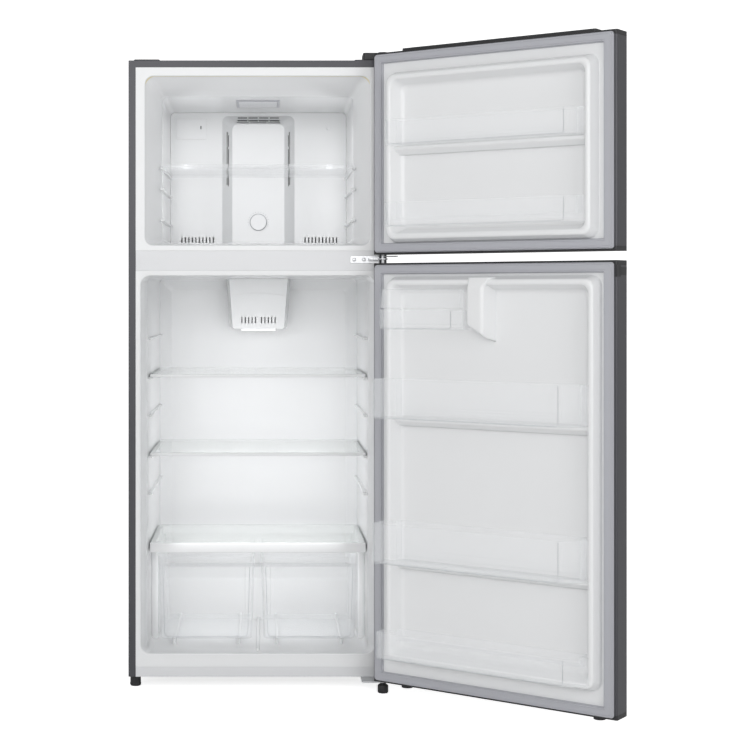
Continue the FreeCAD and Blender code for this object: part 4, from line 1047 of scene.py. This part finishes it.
@dataclass
class Door:
    """One door: steel skin, caps, liner, gasket and bins."""

    shop: Workshop
    name: str
    low: float
    high: float
    dike_far: float
    dike_low: float
    dike_high: float
    ledges: tuple[float, ...]
    bins: tuple[Bin, ...]
    partition: bool = False
    dike_near: float = 50.0
    cap: float = 12.0
    width: float = 698.0
    play: float = 2.0
    ridge: float = 34.3
    tuck: float = 40.0
    bin_wall: float = 2.5
    bin_marks: tuple[float, ...] = (0.12, 0.27)
    front_inset: float = 0.8
    pivot: Vector = field(init=False)
    turn: Matrix = field(init=False)

    def __post_init__(self) -> None:
        """Read the pivot from the frame."""
        joint = next(j for j in self.shop.frame["joints"] if j["child"] == self.name)
        self.pivot = Vector((joint["pos_m"][0], joint["pos_m"][1], 0.0)) / MM
        angle = -math.radians(joint["range_deg"][0])
        self.turn = Matrix.Rotation(angle, 4, "Z")

    def at(self, away: float, rise: float, z: float) -> Vector:
        """A place on the open door.

        Args:
            away: The distance from the hinge-side edge.
            rise: The height above the inner face.
            z: The height above the floor.

        Returns:
            The place, in metres.
        """
        closed = Vector((350.0 - away, FRONT - 12.0 + rise, z))
        return (self.turn @ (closed - self.pivot) + self.pivot) * MM

    def build(self) -> None:
        """Build every piece of the door."""
        self.liner()
        self.gasket()
        for item in self.bins:
            self.bin(item)
        self.shop.soften(f"{self.name}_panel", 0.5, merge=False)
        for part in ("top_cap", "bottom_cap"):
            self.shop.soften(f"{self.name}_{part}", 1.2)

    def plane_loop(self, inset: float, rise: float, radius: float) -> Loop:
        """A rounded rectangle on the door, shrunk from the dike's foot."""
        flat = rounded_box(self.dike_near + inset, self.dike_far - inset, self.dike_low + inset,
                           self.dike_high - inset, radius, 7)
        return [self.at(a, rise, b) for a, b in flat]

    def liner(self) -> None:
        """The moulded inner face: flange, raised ring and the pan inside it."""
        def radius(inset: float) -> float:
            """The corner radius of the loop that is this far from the dike's foot."""
            return lerp(26, 15, max(0.0, min(1.0, inset / 38)))

        corners = [(-6, 0, 1), (0, 0, 5), (10, 34, 7), (22, 34, 7), (38, -6, 14), (70, -6, 1)]
        profile = round_path(corners, 6, False)
        low, high = self.low + self.cap + 0.1, self.high - self.cap - 0.1
        edge = rounded_box(12.6, self.width - 12.6, low, high, 4, 7)
        front = [self.plane_loop(t, p, radius(t)) for t, p in profile]
        rear = [self.plane_loop(t + (1.6 if p > 0 and t < 16 else -1.2 if p > 0 else 0), p - 1.9, radius(t))
                for t, p in profile]
        loops = front[::-1] + [[self.at(a, 0, b) for a, b in edge],
                               [self.at(a, -1.9, b) for a, b in edge]] + rear
        thing = Form().skin(loops).done(f"{self.name}_liner_shaped", 50.0)
        self.shop.settle(thing, self.name, Slot.WHITE_PLASTIC, f"{self.name}_liner")
        shelf = Form()
        for height in self.ledges:
            side = round_path([(height, -8, 0.3), (height, 19.5, 3.5), (height - 9, 19.5, 6),
                               (height - 30, -7, 10)], 5)
            near, far = self.dike_near + 16, self.dike_far - 16
            ends = [(near, 0.0), (near + 2, 1.0), (far - 2, 1.0), (far, 0.0)]
            shelf.skin([[self.at(u, p * (0.94 if soft == 0.0 else 1.0), z) for z, p in side]
                        for u, soft in ends])
        if self.partition:
            shelf.skin(self.partition_loops())
        if self.ledges or self.partition:
            self.shop.settle(shelf.done(f"{self.name}_ledges", 60.0), self.name, Slot.WHITE_PLASTIC)

    def partition_loops(self) -> list[Loop]:
        """Sections of the wall beside the dairy bin, from its slanted foot to the dike that it runs into."""
        loops = []
        top = self.dike_high - 5
        for share in (0.0, 0.012, 0.03, 0.055, 0.09, 0.4, 0.8, 0.84, 0.88, 0.92, 0.96, 1.0):
            nose = min(1.0, share / 0.08)
            height = lerp(14.0, 42.5, math.sin(nose * math.pi / 2) ** 0.7)
            flare = 24.0 * (1 - math.cos(max(0.0, (share - 0.82) / 0.18) * math.pi / 2))
            height -= 8.0 * max(0.0, (share - 0.76) / 0.24)
            corners = [(303, -7, 0.5), (366 + flare, -7, 0.5), (351 + flare, height, 11), (305, height, 7)]
            loop = []
            for away, rise in round_path(corners, 6):
                foot = 987 - 0.62 * (min(away, 366.0) - 303)
                loop.append(self.at(away, rise, lerp(foot, top, share)))
            loops.append(loop)
        return loops

    def gasket(self) -> None:
        """The soft magnetic seal with its folds."""
        section = round_path([
            (0, 0.2, 0.3), (0, 5.0, 1.2), (2.2, 6.0, 0.8), (2.4, 11.3, 1.2), (5.6, 11.4, 0.6),
            (6.4, 10.2, 0.4), (7.2, 11.4, 0.6), (18.4, 11.4, 0.6), (19.2, 10.2, 0.4), (20.0, 11.4, 0.6),
            (22.8, 11.2, 1.0), (23.2, 5.0, 1.0), (25, 3.6, 0.8), (25, 0.2, 0.3)], 2)
        loops = []
        for t, p in section:
            flat = rounded_box(8 + t, 690 - t, self.low + 5 + t, self.high - 5 - t, max(1.5, 7 - t * 0.2), 5)
            loops.append([self.at(a, p, b) for a, b in flat])
        seal = Form().skin(loops, capped=False, round_again=True).done(f"{self.name}_gasket_shaped", 30.0)
        self.shop.settle(seal, self.name, Slot.GASKET, f"{self.name}_gasket")

    def bin(self, item: Bin) -> None:
        """One clear bin with a rolled rim and ribs moulded along its front.

        Args:
            item: The bin's sizes.
        """
        def ring(z: float, inset: float, tucked: bool) -> Loop:
            """The bin's outline at one height, reaching down behind the dike where it is tucked."""
            back = inset - self.play if tucked else self.ridge + inset
            step = self.ridge + inset if tucked else self.ridge + inset + 0.02
            near, far = self.dike_near + self.tuck + inset, item.tuck_far - inset
            wide, tight = (3, 1.5) if tucked else (0.01, 0.01)
            front = item.reach - self.front_inset - inset
            corners = [(far, back, wide), (near, back, wide), (near, step, tight),
                       (item.near + inset, step, 1.5),
                       (item.near + item.near_taper + inset, front, 9),
                       (item.far - item.far_taper - inset, front, 11),
                       (item.far - inset, step, 1.5), (far, step, tight)]
            return [self.at(a, p, z) for a, p in round_path(corners, 4)]

        wall, low, high = self.bin_wall, item.low, item.high
        joined = item.tuck_low <= low + 1
        levels = [(low + up, inset, joined) for up, inset in ((0.0, 2.4), (0.9, 0.7), (2.6, 0.0))]
        for mark in (low + (high - low) * share for share in self.bin_marks):
            levels += [(mark + up, inset, mark > item.tuck_low)
                       for up, inset in ((-1.2, 0.0), (-0.6, -0.8), (0.6, -0.8), (1.2, 0.0))]
        if not joined:
            levels += [(item.tuck_low, 0.0, False), (item.tuck_low, 0.0, True)]
            levels.sort(key=lambda level: (level[0], level[2]))
            levels = [(z, inset, z >= item.tuck_low and tucked or z > item.tuck_low)
                      for z, inset, tucked in levels]
        rim = ((3.2, 0.0), (2.4, -0.7), (0.6, -0.7), (0.0, 0.0), (0.0, wall - 0.8), (0.8, wall))
        levels += [(high - down, inset, True) for down, inset in rim]
        if not joined:
            levels += [(item.tuck_low + wall, wall, True), (item.tuck_low + wall, wall, False)]
        levels += [(low + wall + 1.0, wall, joined), (low + wall, wall + 1.4, joined)]
        shell = Form().skin([ring(*level) for level in levels]).done(f"{item.node}_shaped", 32.0)
        self.shop.settle(shell, item.node, Slot.CLEAR, item.node)
        left, right = item.near + item.near_taper + 7, item.far - item.far_taper - 9
        corners = [(left, high - 4, 0), (left, low + 3, 8), (right, low + 3, 8), (right, high - 4, 0)]
        track = round_path(corners, 5, False)
        outward = (self.at(0, 1, 0) - self.at(0, 0, 0)).normalized()
        # The bead is real, its grey is painted shade of the clear front's edge.
        edge = Form().bead([self.at(a, item.reach - 0.7, b) for a, b in track], outward, 0.45)
        self.shop.settle(edge.done(f"{item.node}_front_edge"), item.node, Slot.CLEAR,
                         material=self.shop.clear_edge)


class FreezerDoor(Door):
    """The upper door."""

    def build(self) -> None:
        """Build the door and the stop bar under it."""
        super().build()
        bar = Form().block((14, -31, 1169.6), (59, -25, 1172.8), 1.0, self.at)
        self.shop.settle(bar.done("door_stop_bar"), self.name, Slot.ZINC)


class FridgeDoor(Door):
    """The lower door."""

    def build(self) -> None:
        """Build the door, its corner cap and the dairy lid."""
        super().build()
        cap = Form().block((670, -60.1, 1112), (698.1, -8, 1141.1), 5.0, self.at)
        cap.block((688.6, -22, 1112), (698.1, 0.7, 1141.1), 0.8, self.at)
        self.shop.settle(cap.done("fridge_door_corner_cap"), self.name, Slot.DARK_PLASTIC)
        self.shop.soften("dairy_lid", 1.6, 3)


def make_doors(shop: Workshop) -> list[Door]:
    """Both doors with their sizes.

    Args:
        shop: The workshop.

    Returns:
        The freezer door and the refrigerator door.
    """
    upper = FreezerDoor(
        shop, "freezer_door", 1176, 1714, 650, 1206.5, 1658, (1459.7,),
        (Bin("freezer_bin_upper", 1460, 1528, 62, 60, 634, 14, 40, 610, 1460),
         Bin("freezer_bin_lower", 1247, 1312, 62, 60, 634, 14, 40, 610, 1268.5)))
    lower = FridgeDoor(
        shop, "fridge_door", 35, 1153, 658, 99, 1117, (745.7, 367.7),
        (Bin("fridge_bin_upper", 746, 849, 97, 52, 640, 4, 44, 618, 746),
         Bin("fridge_bin_middle", 368, 473, 97, 52, 640, 4, 44, 618, 368),
         Bin("fridge_bin_lower", 116, 186, 80, 52, 640, 4, 40, 618, 160),
         Bin("dairy_bin", 978, 1030, 62, 52, 300, 4, 20, 292, 978)), partition=True)
    return [upper, lower]


# ---- room, lamps and camera ----


@dataclass
class Studio:
    """Pale sweep, soft lamps and the camera."""

    floor_colour: str = "fbfbfb"
    floor_lift: float = 0.75
    surround: float = 0.48
    front: float = -11.0
    back: float = 10.0
    bend: float = 1.4
    bend_steps: int = 12
    lens: float = 78.96
    shift: tuple[float, float] = (0.1405, -0.1014)
    place: tuple[float, float, float] = (0.023, -4.725, 1.068)
    clear_layers: int = 32

    def build(self) -> None:
        """Build the studio."""
        self.sweep()
        self.world()
        self.lamp("key", (-1.8, -4.2, 2.6), (0.1, 0.0, 0.9), (2.4, 2.4), 40.0)
        self.lamp("fill", (2.6, -4.0, 1.7), (0.1, -0.2, 0.9), (2.2, 2.2), 35.0)
        self.lamp("front", (0.0, -4.9, 1.8), (0.0, 0.2, 0.9), (1.6, 1.6), 28.0)
        for name, x in (("freezer_glow_left", -0.23), ("freezer_glow_right", 0.23)):
            self.lamp(name, (x, -0.24, 1.4), (-x * 0.9, 0.3, 1.38), (0.1, 0.3), 0.24)
        self.lamp("fresh_food_glow", (0.0, -0.2, 0.68), (0.0, 0.3, 0.6), (0.46, 0.6), 1.0)
        self.lamp("drawer_glow", (0.0, -0.2, 0.24), (0.0, 0.3, 0.22), (0.46, 0.12), 0.22)
        self.camera()

    def sweep(self) -> None:
        """A floor that curves up into a backdrop."""
        form = bmesh.new()
        foot = self.back - self.bend
        turns = [k / self.bend_steps * math.pi / 2 for k in range(1, self.bend_steps + 1)]
        line = [(self.front, 0.0), (foot, 0.0)]
        line += [(foot + self.bend * math.sin(t), self.bend - self.bend * math.cos(t)) for t in turns]
        line.append((self.back, self.back))
        rings = [[form.verts.new((x, y, z)) for y, z in line] for x in (self.front, -self.front)]
        for k in range(len(line) - 1):
            form.faces.new((rings[0][k], rings[1][k], rings[1][k + 1], rings[0][k + 1]))
        mesh = bpy.data.meshes.new("studio_sweep")
        form.to_mesh(mesh)
        form.free()
        for face in mesh.polygons:
            face.use_smooth = True
        floor = bpy.data.objects.new("studio_sweep", mesh)
        bpy.context.scene.collection.objects.link(floor)
        material = bpy.data.materials.new("studio_paper")
        material.use_nodes = True
        net = Net(material.node_tree)
        seen = net.add("ShaderNodeLightPath").outputs["Is Camera Ray"]
        net.feed(material.node_tree.nodes["Principled BSDF"], {
            "Base Color": linear(self.floor_colour), "Roughness": 0.7, "Specular IOR Level": 0.15,
            "Emission Color": (1, 1, 1, 1), "Emission Strength": net.sum("MULTIPLY", seen, self.floor_lift)})
        floor.data.materials.append(material)

    def world(self) -> None:
        """An even white surround."""
        world = bpy.data.worlds.new("studio_surround")
        bpy.context.scene.world = world
        world.use_nodes = True
        world.node_tree.nodes["Background"].inputs[0].default_value = (1.0, 1.0, 1.0, 1.0)
        world.node_tree.nodes["Background"].inputs[1].default_value = self.surround

    @staticmethod
    def lamp(name: str, place: Sequence[float], aim: Sequence[float], size: Sequence[float],
             power: float) -> None:
        """One soft rectangular lamp.

        Args:
            name: Its name.
            place: Where it hangs, in metres.
            aim: What it looks at.
            size: Its width and height.
            power: Its power in watts.
        """
        data = bpy.data.lights.new(name, "AREA")
        data.shape = "RECTANGLE"
        data.size, data.size_y = size
        data.energy = power
        lamp = bpy.data.objects.new(name, data)
        lamp.location = Vector(place)
        lamp.rotation_euler = (Vector(aim) - Vector(place)).to_track_quat("-Z", "Y").to_euler()
        bpy.context.scene.collection.objects.link(lamp)

    def camera(self) -> None:
        """The camera, level and square to the cabinet's front."""
        data = bpy.data.cameras.new("camera")
        data.lens = self.lens
        data.sensor_width = 36.0
        data.shift_x, data.shift_y = self.shift
        camera = bpy.data.objects.new("camera", data)
        camera.location = self.place
        camera.rotation_euler = (math.radians(90), 0.0, 0.0)
        bpy.context.scene.collection.objects.link(camera)
        scene = bpy.context.scene
        scene.camera = camera
        scene.view_settings.view_transform = "Standard"
        scene.view_settings.look = "None"
        scene.cycles.transparent_max_bounces = self.clear_layers


def main() -> None:
    """Build the refrigerator's looks in order."""
    logging.basicConfig(level=logging.INFO, format="%(name)s: %(message)s")
    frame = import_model()
    shop = Workshop(frame)
    Cabinet(shop).build()
    Interior(shop).build()
    for door in make_doors(shop):
        door.build()
        LOG.info("%s is hung", door.name)
    Studio().build()
    bpy.context.view_layer.update()


if __name__ == "__main__":
    main()
